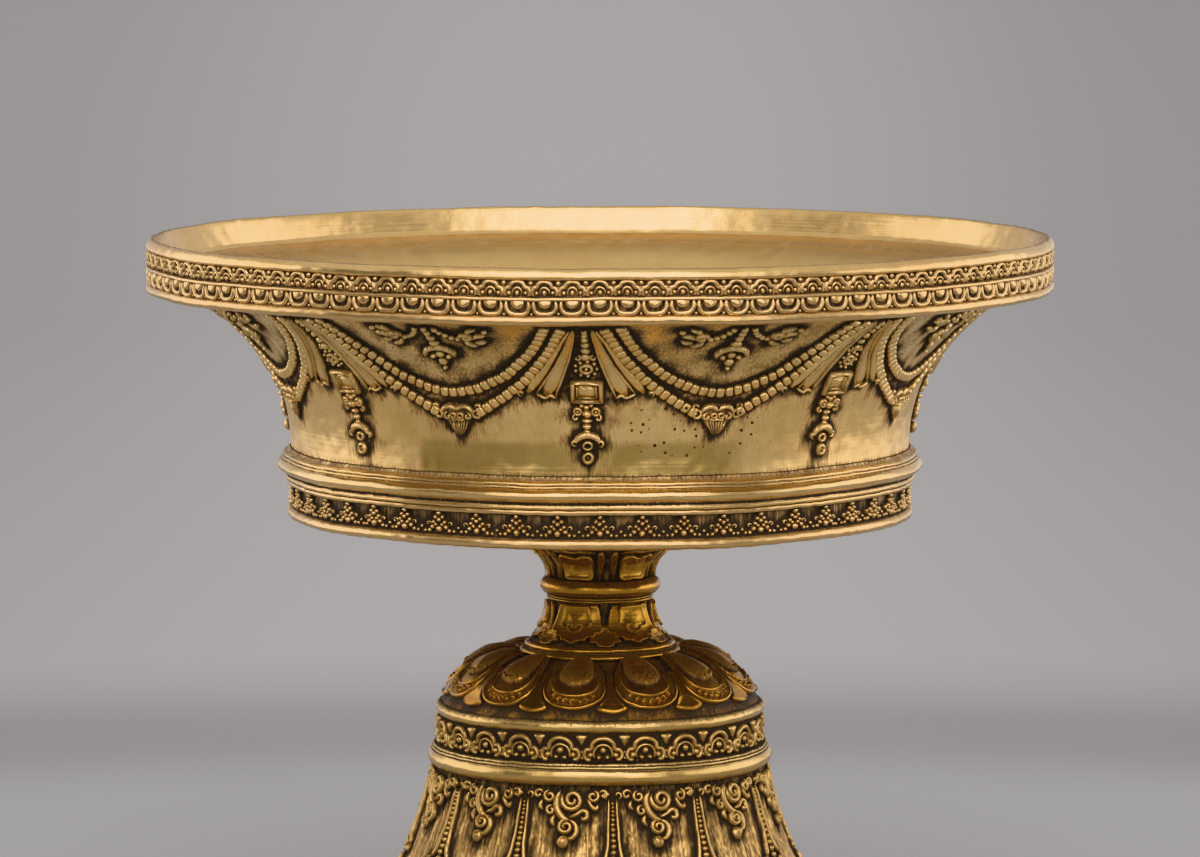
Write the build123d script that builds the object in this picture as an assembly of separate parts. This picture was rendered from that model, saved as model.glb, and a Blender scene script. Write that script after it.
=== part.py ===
from build123d import *
import os
from collections import namedtuple
from math import asin, atan2, cos, radians, sin, sqrt, tan

# A large cast-brass butter lamp: a flared basin that screws onto a short lotus stem, which is
# clamped on a hollow bell-shaped foot by an iron core tube. A wick stands in a socket on the
# basin's floor. Millimetres, +Z up, origin on the lamp's axis at the table.

# Fits
SOLDER_GAP = 0.1        # between castings that are sleeved over each other and soldered
THREAD_GAP = 0.06       # radial, between a screw and the thread that takes it
WICK_GAP = 0.25         # radial, round the soft wick in its socket
SPIGOT_DEPTH = 2.5      # how far one section of the foot drops into the next

# Foot rim, the ring that stands on the table
FOOT_RIM_RADIUS = 106.0
FOOT_RIM_HEIGHT = 16.0
FOOT_RIM_WIDTH = 13.0
FOOT_BORDER_HEIGHT = 5.0
FOOT_BEAD_HEIGHT = 5.0
FOOT_GROUND_DEPTH = 2.4

# Foot: flared skirt, bead ring, ornamented band and lotus dome
FOOT_WALL = 4.0
SKIRT_SET_IN = 6.0      # of the skirt's lower edge, inside the foot rim
SKIRT_TOP_RADIUS = 54.5
SKIRT_HEIGHT = 78.6
SKIRT_FLARE_RADIUS = 150.0
FOOT_RING_PROUD = 2.7   # of the skirt's top, as are the band's and the dome's
FOOT_RING_HEIGHT = 7.4
FOOT_BAND_SET_IN = 0.3
FOOT_BAND_HEIGHT = 9.6
DOME_EDGE_PROUD = 0.1
DOME_EDGE_HEIGHT = 4.0
DOME_SET_IN = 1.9
DOME_RISE = 15.9
DOME_LAND_MARGIN = 0.8  # of the flat land round the neck's flange
DOME_CROWN = 5.0        # how far the dome stands out of the straight line from land to edge

# Stem: flared neck, bead ring and flared calyx, all sleeved on the core
NECK_HEIGHT = 19.9
NECK_FLANGE_PROUD = 2.3
NECK_FLANGE_HEIGHT = 1.9
NECK_PLINTH_SPREAD = 7.4    # beyond the stem's waist, as is the calyx's
NECK_PLINTH_HEIGHT = 1.7
STEM_WAIST_RADIUS = 17.0
NECK_COLLAR_HEIGHT = 2.0
STEM_RING_PROUD = 3.0
STEM_RING_STEP = 0.6    # the bead springs this far outside the stem's waist
STEM_RING_HEIGHT = 5.6
CALYX_HEIGHT = 12.0
CALYX_SPREAD = 9.0
CALYX_LIP_HEIGHT = 1.0

# Iron core tube that clamps stem and dome, with its washer and square nut
CORE_RADIUS = 9.0
CORE_HEAD_PROUD = 5.0
CORE_HEAD_HEIGHT = 3.0
CORE_TAIL = 2.0
WASHER_PROUD = 9.0
WASHER_THICKNESS = 2.0
NUT_SIDE = 26.0
NUT_HEIGHT = 9.0

# Leather seal between stem and basin
SEAL_SET_IN = 3.0       # inside the calyx's edge
SEAL_BORE_CLEARANCE = 2.0   # round the stud
SEAL_THICKNESS = 1.0

# Basin: dished floor, upright foot and flared wall, cast in one
BASIN_WALL = 5.0
BASIN_FLOOR = 6.0
BASIN_LAND_MARGIN = 2.0     # of the floor's flat land round the calyx
BASIN_DISH = 7.4        # how far the floor's land hangs below the drum band
WALL_FOOT_RADIUS = 102.2
WALL_HEIGHT = 51.0

# Rings soldered round the basin: drum band, double-bead moulding and rim band
DRUM_HEIGHT = 12.8
DRUM_WALL = 5.0
DRUM_RECESS = 1.6       # how far the basin's floor stays inside the drum's lower edge
DRUM_TOP_BORDER_PROUD = 1.4     # of the wall's foot, as is all that follows on it
DRUM_TOP_BORDER_HEIGHT = 1.6
DRUM_FOOT_BORDER_PROUD = 1.2
DRUM_FOOT_BORDER_HEIGHT = 3.6
MOULDING_HEIGHT = 10.8
MOULDING_PROUD = 4.5
SMALL_BEAD_PROUD = 3.2
MOULDING_EDGE_PROUD = 1.6
RIM_BAND_RADIUS = 150.0
RIM_BAND_HEIGHT = 18.0
RIM_BAND_WALL = 5.2
RIM_LEDGE = 15.0        # how far in from the band's face its seat on the wall starts
RIM_LIP_HEIGHT = 3.1
RIM_RIDGE_HEIGHT = 1.0
RIM_RIDGE_DROP = 8.0    # from the rim's top edge down to the ridge between the two rows
RIM_BORDER_HEIGHT = 3.4
RIM_GROUND_DEPTH = 0.8

# Stud under the basin, wick socket on its floor, and the wick
STUD_RADIUS = 5.5
STUD_ENGAGEMENT = 20.0
STUD_TAIL_IN_SOCKET = 8.0
STUD_COLLAR_PROUD = 4.5
STUD_COLLAR_HEIGHT = 2.5
SOCKET_SEAL_THICKNESS = 1.0
SOCKET_FLANGE_RADIUS = 14.0
SOCKET_FLANGE_HEIGHT = 3.0
SOCKET_RADIUS = 7.5
SOCKET_WEB = 1.5
SOCKET_DEPTH = 12.0
WICK_BORE_RADIUS = 3.5
WICK_HEIGHT = 64.0
WICK_RADIUS = 4.4
WICK_TIP_RADIUS = 1.6
WICK_STICK_RADIUS = 1.25
WICK_STICK_SHOW = 3.0   # how far the cotton reaches past the stick's tip
WICK_LIFT_CLEARANCE = 4.0

# Raised ornament, cast with its ground: on the skirt, with drops measured down from its top
RELIEF_ROOT = 1.0       # how deep a raised form is rooted in its ground
RIB_COUNT = 12
RIB_TURN = 4.0          # degrees round from the front to the first rib
RIB_RISE = 1.4
RIB_TOP_DROP = 2.4
RIB_WIDTH = 4.4
RIB_KNEE_DROP = 18.0
RIB_KNEE_WIDTH = 6.0
RIB_BELL_DROP = 26.0
RIB_BELL_WIDTH = 12.0
RIB_TIP_DROP = 34.0
SCROLL_RISE = 1.8
SCROLL_TOP_DROP = 1.2
SCROLL_WIDTH = 22.0
SCROLL_WAIST_DROP = 9.5
SCROLL_WAIST_WIDTH = 9.0
SCROLL_TIP_DROP = 19.0
PETAL_COUNT = 43
PETAL_RISE = 1.2
PETAL_FOOT_RISE = 0.6   # from the skirt's lower edge up to the petals
PETAL_HEIGHT = 16.5
PETAL_GAP = 0.9

# Raised ornament on the basin's wall, with drops measured down from the rim band
SWAG_COUNT = 8
SWAG_TURN = -2.3        # degrees round from the front to the first pendant
SWAG_RISE = 1.9
SWAG_TOP_DROP = 2.4
SWAG_END_GAP = 6.6      # from the line between two swags to a swag's end
SWAG_END_WIDTH = 4.8
SWAG_HOLLOW_DROP = 22.6
SWAG_DEPTH = 9.5
BOSS_RISE = 2.3
BOSS_TOP_DROP = 28.0
BOSS_WIDTH = 12.4
BOSS_HEIGHT = 11.6
PENDANT_RISE = 2.1
PENDANT_TOP_WIDTH = 3.4
PENDANT_JEWEL_DROP = 17.0
PENDANT_JEWEL_WIDTH = 10.2
PENDANT_JEWEL_HEIGHT = 11.0
PENDANT_TASSEL_WIDTH = 7.0
PENDANT_TIP_DROP = 46.5
DRAPE_RISE = 1.3
DRAPE_TOP_OFFSET = 3.2  # from the pendant's middle
DRAPE_HEM_DROP = 25.6
DRAPE_HEM_OFFSET = 8.2
DRAPE_HEM_WIDTH = 12.0

# Levels, stacked up from the table
SKIRT_BOTTOM = FOOT_RIM_HEIGHT
SKIRT_TOP = SKIRT_BOTTOM + SKIRT_HEIGHT
BAND_BOTTOM = SKIRT_TOP + FOOT_RING_HEIGHT
DOME_BOTTOM = BAND_BOTTOM + FOOT_BAND_HEIGHT
DOME_SPRING = DOME_BOTTOM + DOME_EDGE_HEIGHT
NECK_BOTTOM = DOME_SPRING + DOME_RISE
STEM_RING_BOTTOM = NECK_BOTTOM + NECK_HEIGHT
CALYX_BOTTOM = STEM_RING_BOTTOM + STEM_RING_HEIGHT
CALYX_TOP = CALYX_BOTTOM + CALYX_HEIGHT
BASIN_BOTTOM = CALYX_TOP + SEAL_THICKNESS
DRUM_BOTTOM = BASIN_BOTTOM + BASIN_DISH
DRUM_TOP = DRUM_BOTTOM + DRUM_HEIGHT
WALL_FOOT = DRUM_TOP + MOULDING_HEIGHT
RIM_BOTTOM = WALL_FOOT + WALL_HEIGHT
RIM_TOP = RIM_BOTTOM + RIM_BAND_HEIGHT
FLOOR_TOP = BASIN_BOTTOM + BASIN_FLOOR
SOCKET_BOTTOM = FLOOR_TOP + SOCKET_SEAL_THICKNESS
WICK_BOTTOM = SOCKET_BOTTOM + STUD_TAIL_IN_SOCKET + SOCKET_WEB

# Radii that follow from others, from the foot up
SKIRT_BOTTOM_RADIUS = FOOT_RIM_RADIUS - SKIRT_SET_IN
FOOT_RING_RADIUS = SKIRT_TOP_RADIUS + FOOT_RING_PROUD
FOOT_BAND_RADIUS = SKIRT_TOP_RADIUS - FOOT_BAND_SET_IN
DOME_EDGE_RADIUS = SKIRT_TOP_RADIUS + DOME_EDGE_PROUD
DOME_RADIUS = SKIRT_TOP_RADIUS - DOME_SET_IN
NECK_PLINTH_RADIUS = STEM_WAIST_RADIUS + NECK_PLINTH_SPREAD
NECK_FLANGE_RADIUS = NECK_PLINTH_RADIUS + NECK_FLANGE_PROUD
DOME_LAND_RADIUS = NECK_FLANGE_RADIUS + DOME_LAND_MARGIN
STEM_RING_RADIUS = STEM_WAIST_RADIUS + STEM_RING_PROUD
CALYX_TOP_RADIUS = STEM_WAIST_RADIUS + CALYX_SPREAD
SEAL_RADIUS = CALYX_TOP_RADIUS - SEAL_SET_IN
SEAL_BORE_RADIUS = STUD_RADIUS + SEAL_BORE_CLEARANCE
BASIN_LAND_RADIUS = CALYX_TOP_RADIUS + BASIN_LAND_MARGIN
CORE_HEAD_RADIUS = CORE_RADIUS + CORE_HEAD_PROUD
WASHER_RADIUS = CORE_RADIUS + WASHER_PROUD
STUD_COLLAR_RADIUS = STUD_RADIUS + STUD_COLLAR_PROUD
DRUM_TOP_BORDER_RADIUS = WALL_FOOT_RADIUS + DRUM_TOP_BORDER_PROUD
DRUM_FOOT_BORDER_RADIUS = WALL_FOOT_RADIUS + DRUM_FOOT_BORDER_PROUD
MOULDING_RADIUS = WALL_FOOT_RADIUS + MOULDING_PROUD
SMALL_BEAD_RADIUS = WALL_FOOT_RADIUS + SMALL_BEAD_PROUD
MOULDING_EDGE_RADIUS = WALL_FOOT_RADIUS + MOULDING_EDGE_PROUD
FOOT_BORE_RADIUS = SKIRT_TOP_RADIUS - FOOT_WALL     # through skirt top, ring and band
RIM_FOOT_BORE_RADIUS = SKIRT_BOTTOM_RADIUS - FOOT_WALL
DRUM_BORE_RADIUS = WALL_FOOT_RADIUS - DRUM_WALL
MOUTH_RADIUS = RIM_BAND_RADIUS - RIM_BAND_WALL
WALL_SEAT_RADIUS = RIM_BAND_RADIUS - RIM_LEDGE
CORE_BORE_RADIUS = CORE_RADIUS + SOLDER_GAP         # through every casting on the core

# A rounded stretch of an outline, through one point to another
Arc = namedtuple("Arc", "through to")


def outlined(start, *steps):
    """A flat face whose outline is points and Arcs, closed back to its start."""
    edges = []
    here = start
    for step in steps:
        if isinstance(step, Arc):
            edges.append(ThreePointArc(here, step.through, step.to))
            here = step.to
        else:
            edges.append(Line(here, step))
            here = step
    if here != start:
        edges.append(Line(here, start))
    return make_face(edges)


def turned(start, *steps):
    """A solid of revolution about Z. The outline is in (radius, height)."""
    return revolve(Plane.XZ * outlined(start, *steps), Axis.Z)


def raised(skin, *outline):
    """A motif on the front of a casting, cut from a skin of its face. The outline is in (across, height)."""
    return skin & extrude(Plane.XZ * outlined(*outline), RIM_BAND_RADIUS)


def symmetric(*right):
    """Outline points down the right of a motif, and back up its left."""
    return *right, *((-across, height) for across, height in reversed(right) if across)


def round_the_axis(motif, count, turn):
    """Copies of a motif, evenly spaced from a turn in degrees from the front."""
    return [Rot(0, 0, turn + 360 * step / count) * motif for step in range(count)]


def cove(waist, end):
    """The hollow arc that leaves a waist upright and sweeps outwards to an end point."""
    run = end[0] - waist[0]
    rise = end[1] - waist[1]
    radius = (rise**2 + run**2) / (2 * run)
    half_angle = atan2(run, abs(rise))
    middle = waist[0] + radius * (1 - cos(half_angle))
    return Arc((middle, waist[1] + radius * sin(half_angle) * rise / abs(rise)), end)


def flare_centre(top, bottom, radius):
    """Centre of the hollow arc of a given radius that flares from top out to bottom."""
    chord = sqrt((bottom[0] - top[0]) ** 2 + (top[1] - bottom[1]) ** 2)
    reach = sqrt(radius**2 - chord**2 / 4)
    middle = ((top[0] + bottom[0]) / 2, (top[1] + bottom[1]) / 2)
    out = ((top[1] - bottom[1]) / chord, (bottom[0] - top[0]) / chord)
    return middle[0] + reach * out[0], middle[1] + reach * out[1]


def on_flare(centre, radius, height):
    """The point at a given height on a hollow arc about an outside centre."""
    return centre[0] - sqrt(radius**2 - (height - centre[1]) ** 2), height


def foot_rim():
    """Ring on the table: plain border, sunk ground and a bead, with a rabbet for the skirt."""
    ground = FOOT_RIM_RADIUS - FOOT_GROUND_DEPTH
    border_top = FOOT_BORDER_HEIGHT
    bead_bottom = FOOT_RIM_HEIGHT - FOOT_BEAD_HEIGHT
    inner = FOOT_RIM_RADIUS - FOOT_RIM_WIDTH
    ease = FOOT_GROUND_DEPTH / 2
    bead_middle = FOOT_RIM_HEIGHT - FOOT_BEAD_HEIGHT / 2
    return turned(
        (inner, 0),
        (FOOT_RIM_RADIUS, 0),
        (FOOT_RIM_RADIUS, border_top - ease),
        Arc((FOOT_RIM_RADIUS - ease * (1 - cos(radians(45))), border_top - ease * (1 - sin(radians(45)))),
            (FOOT_RIM_RADIUS - ease, border_top)),
        (ground, border_top),
        (ground, bead_bottom),
        Arc((ground + ease, bead_middle), (ground - ease, FOOT_RIM_HEIGHT)),
        (RIM_FOOT_BORE_RADIUS, FOOT_RIM_HEIGHT),
        (RIM_FOOT_BORE_RADIUS, FOOT_RIM_HEIGHT - SPIGOT_DEPTH - SOLDER_GAP),
        (inner, FOOT_RIM_HEIGHT - SPIGOT_DEPTH - SOLDER_GAP),
    )


def skirt_relief(centre):
    """Ribs that end in a bell and a drop, scroll pendants between them, and a border of lotus petals."""
    middle_height = (SKIRT_TOP + SKIRT_BOTTOM) / 2

    def skin(rise):
        face, root = SKIRT_FLARE_RADIUS - rise, SKIRT_FLARE_RADIUS + RELIEF_ROOT
        return turned(
            on_flare(centre, root, SKIRT_BOTTOM),
            on_flare(centre, face, SKIRT_BOTTOM),
            Arc(on_flare(centre, face, middle_height), on_flare(centre, face, SKIRT_TOP)),
            on_flare(centre, root, SKIRT_TOP),
            Arc(on_flare(centre, root, middle_height), on_flare(centre, root, SKIRT_BOTTOM)),
        )

    rib = raised(skin(RIB_RISE), *symmetric(
        (RIB_WIDTH / 2, SKIRT_TOP - RIB_TOP_DROP),
        (RIB_KNEE_WIDTH / 2, SKIRT_TOP - RIB_KNEE_DROP),
        (RIB_BELL_WIDTH / 2, SKIRT_TOP - RIB_BELL_DROP),
        (0, SKIRT_TOP - RIB_TIP_DROP),
    ))
    scroll = raised(skin(SCROLL_RISE), *symmetric(
        (SCROLL_WIDTH / 2, SKIRT_TOP - SCROLL_TOP_DROP),
        (SCROLL_WAIST_WIDTH / 2, SKIRT_TOP - SCROLL_WAIST_DROP),
        (0, SKIRT_TOP - SCROLL_TIP_DROP),
    ))
    foot = SKIRT_BOTTOM + PETAL_FOOT_RISE
    tip = (0, foot + PETAL_HEIGHT)
    shoulder = foot + PETAL_HEIGHT / 2
    half_pitch = radians(180 / PETAL_COUNT)
    foot_side = on_flare(centre, SKIRT_FLARE_RADIUS, foot)[0] * sin(half_pitch) - PETAL_GAP / 2
    side = on_flare(centre, SKIRT_FLARE_RADIUS, shoulder)[0] * sin(half_pitch) - PETAL_GAP / 2
    petal = raised(skin(PETAL_RISE), (-foot_side, foot), (foot_side, foot), Arc((side, shoulder), tip),
                   Arc((-side, shoulder), (-foot_side, foot)))
    half_turn = 180 / RIB_COUNT
    return [*round_the_axis(rib, RIB_COUNT, RIB_TURN), *round_the_axis(scroll, RIB_COUNT, RIB_TURN + half_turn),
            *round_the_axis(petal, PETAL_COUNT, 0)]


def foot_skirt():
    """Bell-shaped skirt. Its top spigot passes through the ring into the band above."""
    top = (SKIRT_TOP_RADIUS, SKIRT_TOP)
    bottom = (SKIRT_BOTTOM_RADIUS, SKIRT_BOTTOM)
    middle_height = (SKIRT_TOP + SKIRT_BOTTOM) / 2
    centre = flare_centre(top, bottom, SKIRT_FLARE_RADIUS)
    inner_radius = SKIRT_FLARE_RADIUS + FOOT_WALL
    spigot = FOOT_BORE_RADIUS - SOLDER_GAP
    spigot_top = BAND_BOTTOM + SPIGOT_DEPTH
    tail = RIM_FOOT_BORE_RADIUS - SOLDER_GAP
    inner_bottom = on_flare(centre, inner_radius, SKIRT_BOTTOM)
    inner_middle = on_flare(centre, inner_radius, middle_height)
    inner_top = (spigot - FOOT_WALL / 2, SKIRT_TOP)
    body = turned(
        bottom,
        Arc(on_flare(centre, SKIRT_FLARE_RADIUS, middle_height), top),
        (spigot, SKIRT_TOP),
        (spigot, spigot_top),
        (inner_top[0], spigot_top),
        inner_top,
        Arc(inner_middle, inner_bottom),
        (inner_bottom[0], SKIRT_BOTTOM - SPIGOT_DEPTH),
        (tail, SKIRT_BOTTOM - SPIGOT_DEPTH),
        (tail, SKIRT_BOTTOM),
    )
    return body + skirt_relief(centre)


def foot_ring():
    """Half-round bead ring sleeved on the skirt's spigot."""
    step = SKIRT_TOP_RADIUS + (FOOT_RING_RADIUS - SKIRT_TOP_RADIUS) / 4
    middle = SKIRT_TOP + FOOT_RING_HEIGHT / 2
    return turned(
        (FOOT_BORE_RADIUS, SKIRT_TOP),
        (step, SKIRT_TOP),
        Arc((FOOT_RING_RADIUS, middle), (step, BAND_BOTTOM)),
        (FOOT_BORE_RADIUS, BAND_BOTTOM),
    )


def foot_band():
    """Upright ornamented band between the bead ring and the dome."""
    return turned(
        (FOOT_BORE_RADIUS, BAND_BOTTOM),
        (FOOT_BAND_RADIUS, BAND_BOTTOM),
        (FOOT_BAND_RADIUS, DOME_BOTTOM),
        (FOOT_BORE_RADIUS, DOME_BOTTOM),
    )


def foot_dome():
    """Lotus dome: hollow cap with a rounded edge and a flat land that carries the stem."""
    land = (DOME_LAND_RADIUS, NECK_BOTTOM)
    spring = (DOME_RADIUS, DOME_SPRING)
    slope = atan2(land[1] - spring[1], spring[0] - land[0])
    crown = ((land[0] + spring[0]) / 2 + DOME_CROWN * sin(slope),
             (land[1] + spring[1]) / 2 + DOME_CROWN * cos(slope))
    under = NECK_BOTTOM - FOOT_WALL
    spigot = FOOT_BORE_RADIUS - SOLDER_GAP
    hollow = spigot - FOOT_WALL / 2
    inner_crown = (crown[0] - FOOT_WALL * sin(slope), crown[1] - FOOT_WALL * cos(slope))
    inner_land = (DOME_LAND_RADIUS - FOOT_WALL / 2, under)
    return turned(
        (CORE_BORE_RADIUS, NECK_BOTTOM),
        land,
        Arc(crown, spring),
        Arc((DOME_EDGE_RADIUS, DOME_SPRING - DOME_EDGE_HEIGHT / 2), (DOME_RADIUS, DOME_BOTTOM)),
        (spigot, DOME_BOTTOM),
        (spigot, DOME_BOTTOM - SPIGOT_DEPTH),
        (hollow, DOME_BOTTOM - SPIGOT_DEPTH),
        (hollow, DOME_BOTTOM),
        Arc(inner_crown, inner_land),
        (CORE_BORE_RADIUS, under),
    )


def stem_neck():
    """Flared neck with its flange and plinth, which stands on the dome."""
    flange_top = NECK_BOTTOM + NECK_FLANGE_HEIGHT
    plinth_top = flange_top + NECK_PLINTH_HEIGHT
    waist = (STEM_WAIST_RADIUS, STEM_RING_BOTTOM - NECK_COLLAR_HEIGHT)
    flare = cove(waist, (NECK_PLINTH_RADIUS, plinth_top))
    return turned(
        (CORE_BORE_RADIUS, NECK_BOTTOM),
        (NECK_FLANGE_RADIUS, NECK_BOTTOM),
        (NECK_FLANGE_RADIUS, flange_top),
        (NECK_PLINTH_RADIUS, flange_top),
        (NECK_PLINTH_RADIUS, plinth_top),
        Arc(flare.through, waist),
        (STEM_WAIST_RADIUS, STEM_RING_BOTTOM),
        (CORE_BORE_RADIUS, STEM_RING_BOTTOM),
    )


def stem_ring():
    """Bead ring between neck and calyx."""
    bead_middle = STEM_RING_BOTTOM + STEM_RING_HEIGHT / 2
    spring = STEM_WAIST_RADIUS + STEM_RING_STEP
    return turned(
        (CORE_BORE_RADIUS, STEM_RING_BOTTOM),
        (spring, STEM_RING_BOTTOM),
        Arc((STEM_RING_RADIUS, bead_middle), (spring, CALYX_BOTTOM)),
        (CORE_BORE_RADIUS, CALYX_BOTTOM),
    )


def stem_calyx():
    """Flared calyx under the basin, counterbored for the head of the core."""
    lip = (CALYX_TOP_RADIUS, CALYX_TOP - CALYX_LIP_HEIGHT)
    head = CORE_HEAD_RADIUS + SOLDER_GAP
    return turned(
        (CORE_BORE_RADIUS, CALYX_BOTTOM),
        (STEM_WAIST_RADIUS, CALYX_BOTTOM),
        cove((STEM_WAIST_RADIUS, CALYX_BOTTOM), lip),
        (CALYX_TOP_RADIUS, CALYX_TOP),
        (head, CALYX_TOP),
        (head, CALYX_TOP - CORE_HEAD_HEIGHT),
        (CORE_BORE_RADIUS, CALYX_TOP - CORE_HEAD_HEIGHT),
    )


def stem_core():
    """Iron tube with a flat head: the stem's castings hang on it, and the stud screws into it."""
    bore = STUD_RADIUS + THREAD_GAP
    end = NECK_BOTTOM - FOOT_WALL - WASHER_THICKNESS - NUT_HEIGHT - CORE_TAIL
    return turned(
        (bore, end),
        (CORE_RADIUS, end),
        (CORE_RADIUS, CALYX_TOP - CORE_HEAD_HEIGHT),
        (CORE_HEAD_RADIUS, CALYX_TOP - CORE_HEAD_HEIGHT),
        (CORE_HEAD_RADIUS, CALYX_TOP),
        (bore, CALYX_TOP),
    )


def core_washer():
    """Iron washer under the dome."""
    top = NECK_BOTTOM - FOOT_WALL
    bore = CORE_RADIUS + THREAD_GAP
    return turned(
        (bore, top - WASHER_THICKNESS),
        (WASHER_RADIUS, top - WASHER_THICKNESS),
        (WASHER_RADIUS, top),
        (bore, top),
    )


def core_nut():
    """Square iron nut that draws the stem and the dome together."""
    top = NECK_BOTTOM - FOOT_WALL - WASHER_THICKNESS
    block = Pos(0, 0, top - NUT_HEIGHT / 2) * Box(NUT_SIDE, NUT_SIDE, NUT_HEIGHT)
    block -= Pos(0, 0, top - NUT_HEIGHT / 2) * Cylinder(CORE_RADIUS + THREAD_GAP, NUT_HEIGHT)
    return block


def seat_seal():
    """Leather washer between the calyx and the basin's land."""
    return turned(
        (SEAL_BORE_RADIUS, CALYX_TOP),
        (SEAL_RADIUS, CALYX_TOP),
        (SEAL_RADIUS, BASIN_BOTTOM),
        (SEAL_BORE_RADIUS, BASIN_BOTTOM),
    )


# Section of the flared wall: a hollow arc that leaves the wall's foot upright, then a straight
# lip tangent to it, under the rim band, out to the mouth
FLARE_RUN = WALL_SEAT_RADIUS - WALL_FOOT_RADIUS
FLARE_RADIUS = (WALL_HEIGHT**2 + FLARE_RUN**2) / (2 * FLARE_RUN)
FLARE_ANGLE = 2 * atan2(FLARE_RUN, WALL_HEIGHT)
FLARE_CENTRE = (WALL_FOOT_RADIUS + FLARE_RADIUS, WALL_FOOT)


def on_wall(angle, depth):
    """Point of the flared wall at an angle up its arc, a depth in from its outer face."""
    reach = FLARE_RADIUS + depth
    return FLARE_CENTRE[0] - reach * cos(angle), FLARE_CENTRE[1] + reach * sin(angle)


def on_lip(radius, depth):
    """Point of the straight lip at a radius, a depth in from its outer face."""
    start = on_wall(FLARE_ANGLE, depth)
    return radius, start[1] + (radius - start[0]) * cos(FLARE_ANGLE) / sin(FLARE_ANGLE)


def wall_relief():
    """Swags with a boss under each, and between them jewelled pendants, each between two drapes."""
    top = RIM_BOTTOM - SWAG_TOP_DROP
    top_angle = asin((top - WALL_FOOT) / FLARE_RADIUS)

    def skin(rise):
        return turned(
            on_wall(0, RELIEF_ROOT),
            on_wall(0, -rise),
            Arc(on_wall(FLARE_ANGLE / 2, -rise), on_wall(FLARE_ANGLE, -rise)),
            on_wall(FLARE_ANGLE, RELIEF_ROOT),
            Arc(on_wall(FLARE_ANGLE / 2, RELIEF_ROOT), on_wall(0, RELIEF_ROOT)),
        )

    end = on_wall(top_angle, 0)[0] * sin(radians(180 / SWAG_COUNT)) - SWAG_END_GAP
    inner_end = end - SWAG_END_WIDTH
    hollow = RIM_BOTTOM - SWAG_HOLLOW_DROP
    swag = raised(skin(SWAG_RISE), (-end, top), Arc((0, hollow - SWAG_DEPTH), (end, top)), (inner_end, top),
                  Arc((0, hollow), (-inner_end, top)))
    boss_top = RIM_BOTTOM - BOSS_TOP_DROP
    boss = raised(skin(BOSS_RISE), *symmetric(
        (BOSS_WIDTH / 4, boss_top),
        (BOSS_WIDTH / 2, boss_top - BOSS_HEIGHT / 3),
        (BOSS_WIDTH / 4, boss_top - BOSS_HEIGHT * 0.85),
        (0, boss_top - BOSS_HEIGHT),
    ))
    jewel_top = RIM_BOTTOM - PENDANT_JEWEL_DROP
    pendant = raised(skin(PENDANT_RISE), *symmetric(
        (PENDANT_TOP_WIDTH / 2, top),
        (PENDANT_JEWEL_WIDTH / 2, jewel_top),
        (PENDANT_JEWEL_WIDTH / 2, jewel_top - PENDANT_JEWEL_HEIGHT),
        (PENDANT_TASSEL_WIDTH / 2, jewel_top - PENDANT_JEWEL_HEIGHT),
        (PENDANT_TASSEL_WIDTH / 2, (jewel_top - PENDANT_JEWEL_HEIGHT + RIM_BOTTOM - PENDANT_TIP_DROP) / 2),
        (0, RIM_BOTTOM - PENDANT_TIP_DROP),
    ))
    hem = RIM_BOTTOM - DRAPE_HEM_DROP
    drapes = [raised(skin(DRAPE_RISE), (side * DRAPE_TOP_OFFSET, top), (side * DRAPE_HEM_OFFSET, hem),
                     (side * (DRAPE_HEM_OFFSET + DRAPE_HEM_WIDTH), hem)) for side in (-1, 1)]
    half_turn = 180 / SWAG_COUNT
    motifs = [(swag, half_turn), (boss, half_turn), (pendant, 0), *((drape, 0) for drape in drapes)]
    return [copy for motif, turn in motifs for copy in round_the_axis(motif, SWAG_COUNT, SWAG_TURN + turn)]


def basin():
    """Cast bowl: dished floor with a hole for the stud, upright foot and flared wall."""
    spigot = DRUM_BORE_RADIUS - SOLDER_GAP
    spigot_bottom = DRUM_BOTTOM + DRUM_RECESS
    inside = spigot - BASIN_WALL
    hole = STUD_RADIUS + SOLDER_GAP
    collar = STUD_COLLAR_RADIUS + SOLDER_GAP
    lip = MOUTH_RADIUS - SOLDER_GAP
    body = turned(
        (hole, FLOOR_TOP),
        (hole, BASIN_BOTTOM + STUD_COLLAR_HEIGHT),
        (collar, BASIN_BOTTOM + STUD_COLLAR_HEIGHT),
        (collar, BASIN_BOTTOM),
        (BASIN_LAND_RADIUS, BASIN_BOTTOM),
        (spigot, spigot_bottom),
        (spigot, DRUM_TOP),
        (WALL_FOOT_RADIUS, DRUM_TOP),
        (WALL_FOOT_RADIUS, WALL_FOOT),
        Arc(on_wall(FLARE_ANGLE / 2, 0), on_wall(FLARE_ANGLE, 0)),
        on_lip(lip, 0),
        on_lip(lip, BASIN_WALL),
        on_wall(FLARE_ANGLE, BASIN_WALL),
        Arc(on_wall(FLARE_ANGLE / 2, BASIN_WALL), on_wall(0, BASIN_WALL)),
        (inside, DRUM_TOP),
        (inside, spigot_bottom + BASIN_FLOOR),
        (BASIN_LAND_RADIUS, FLOOR_TOP),
    )
    return body + wall_relief()


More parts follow.
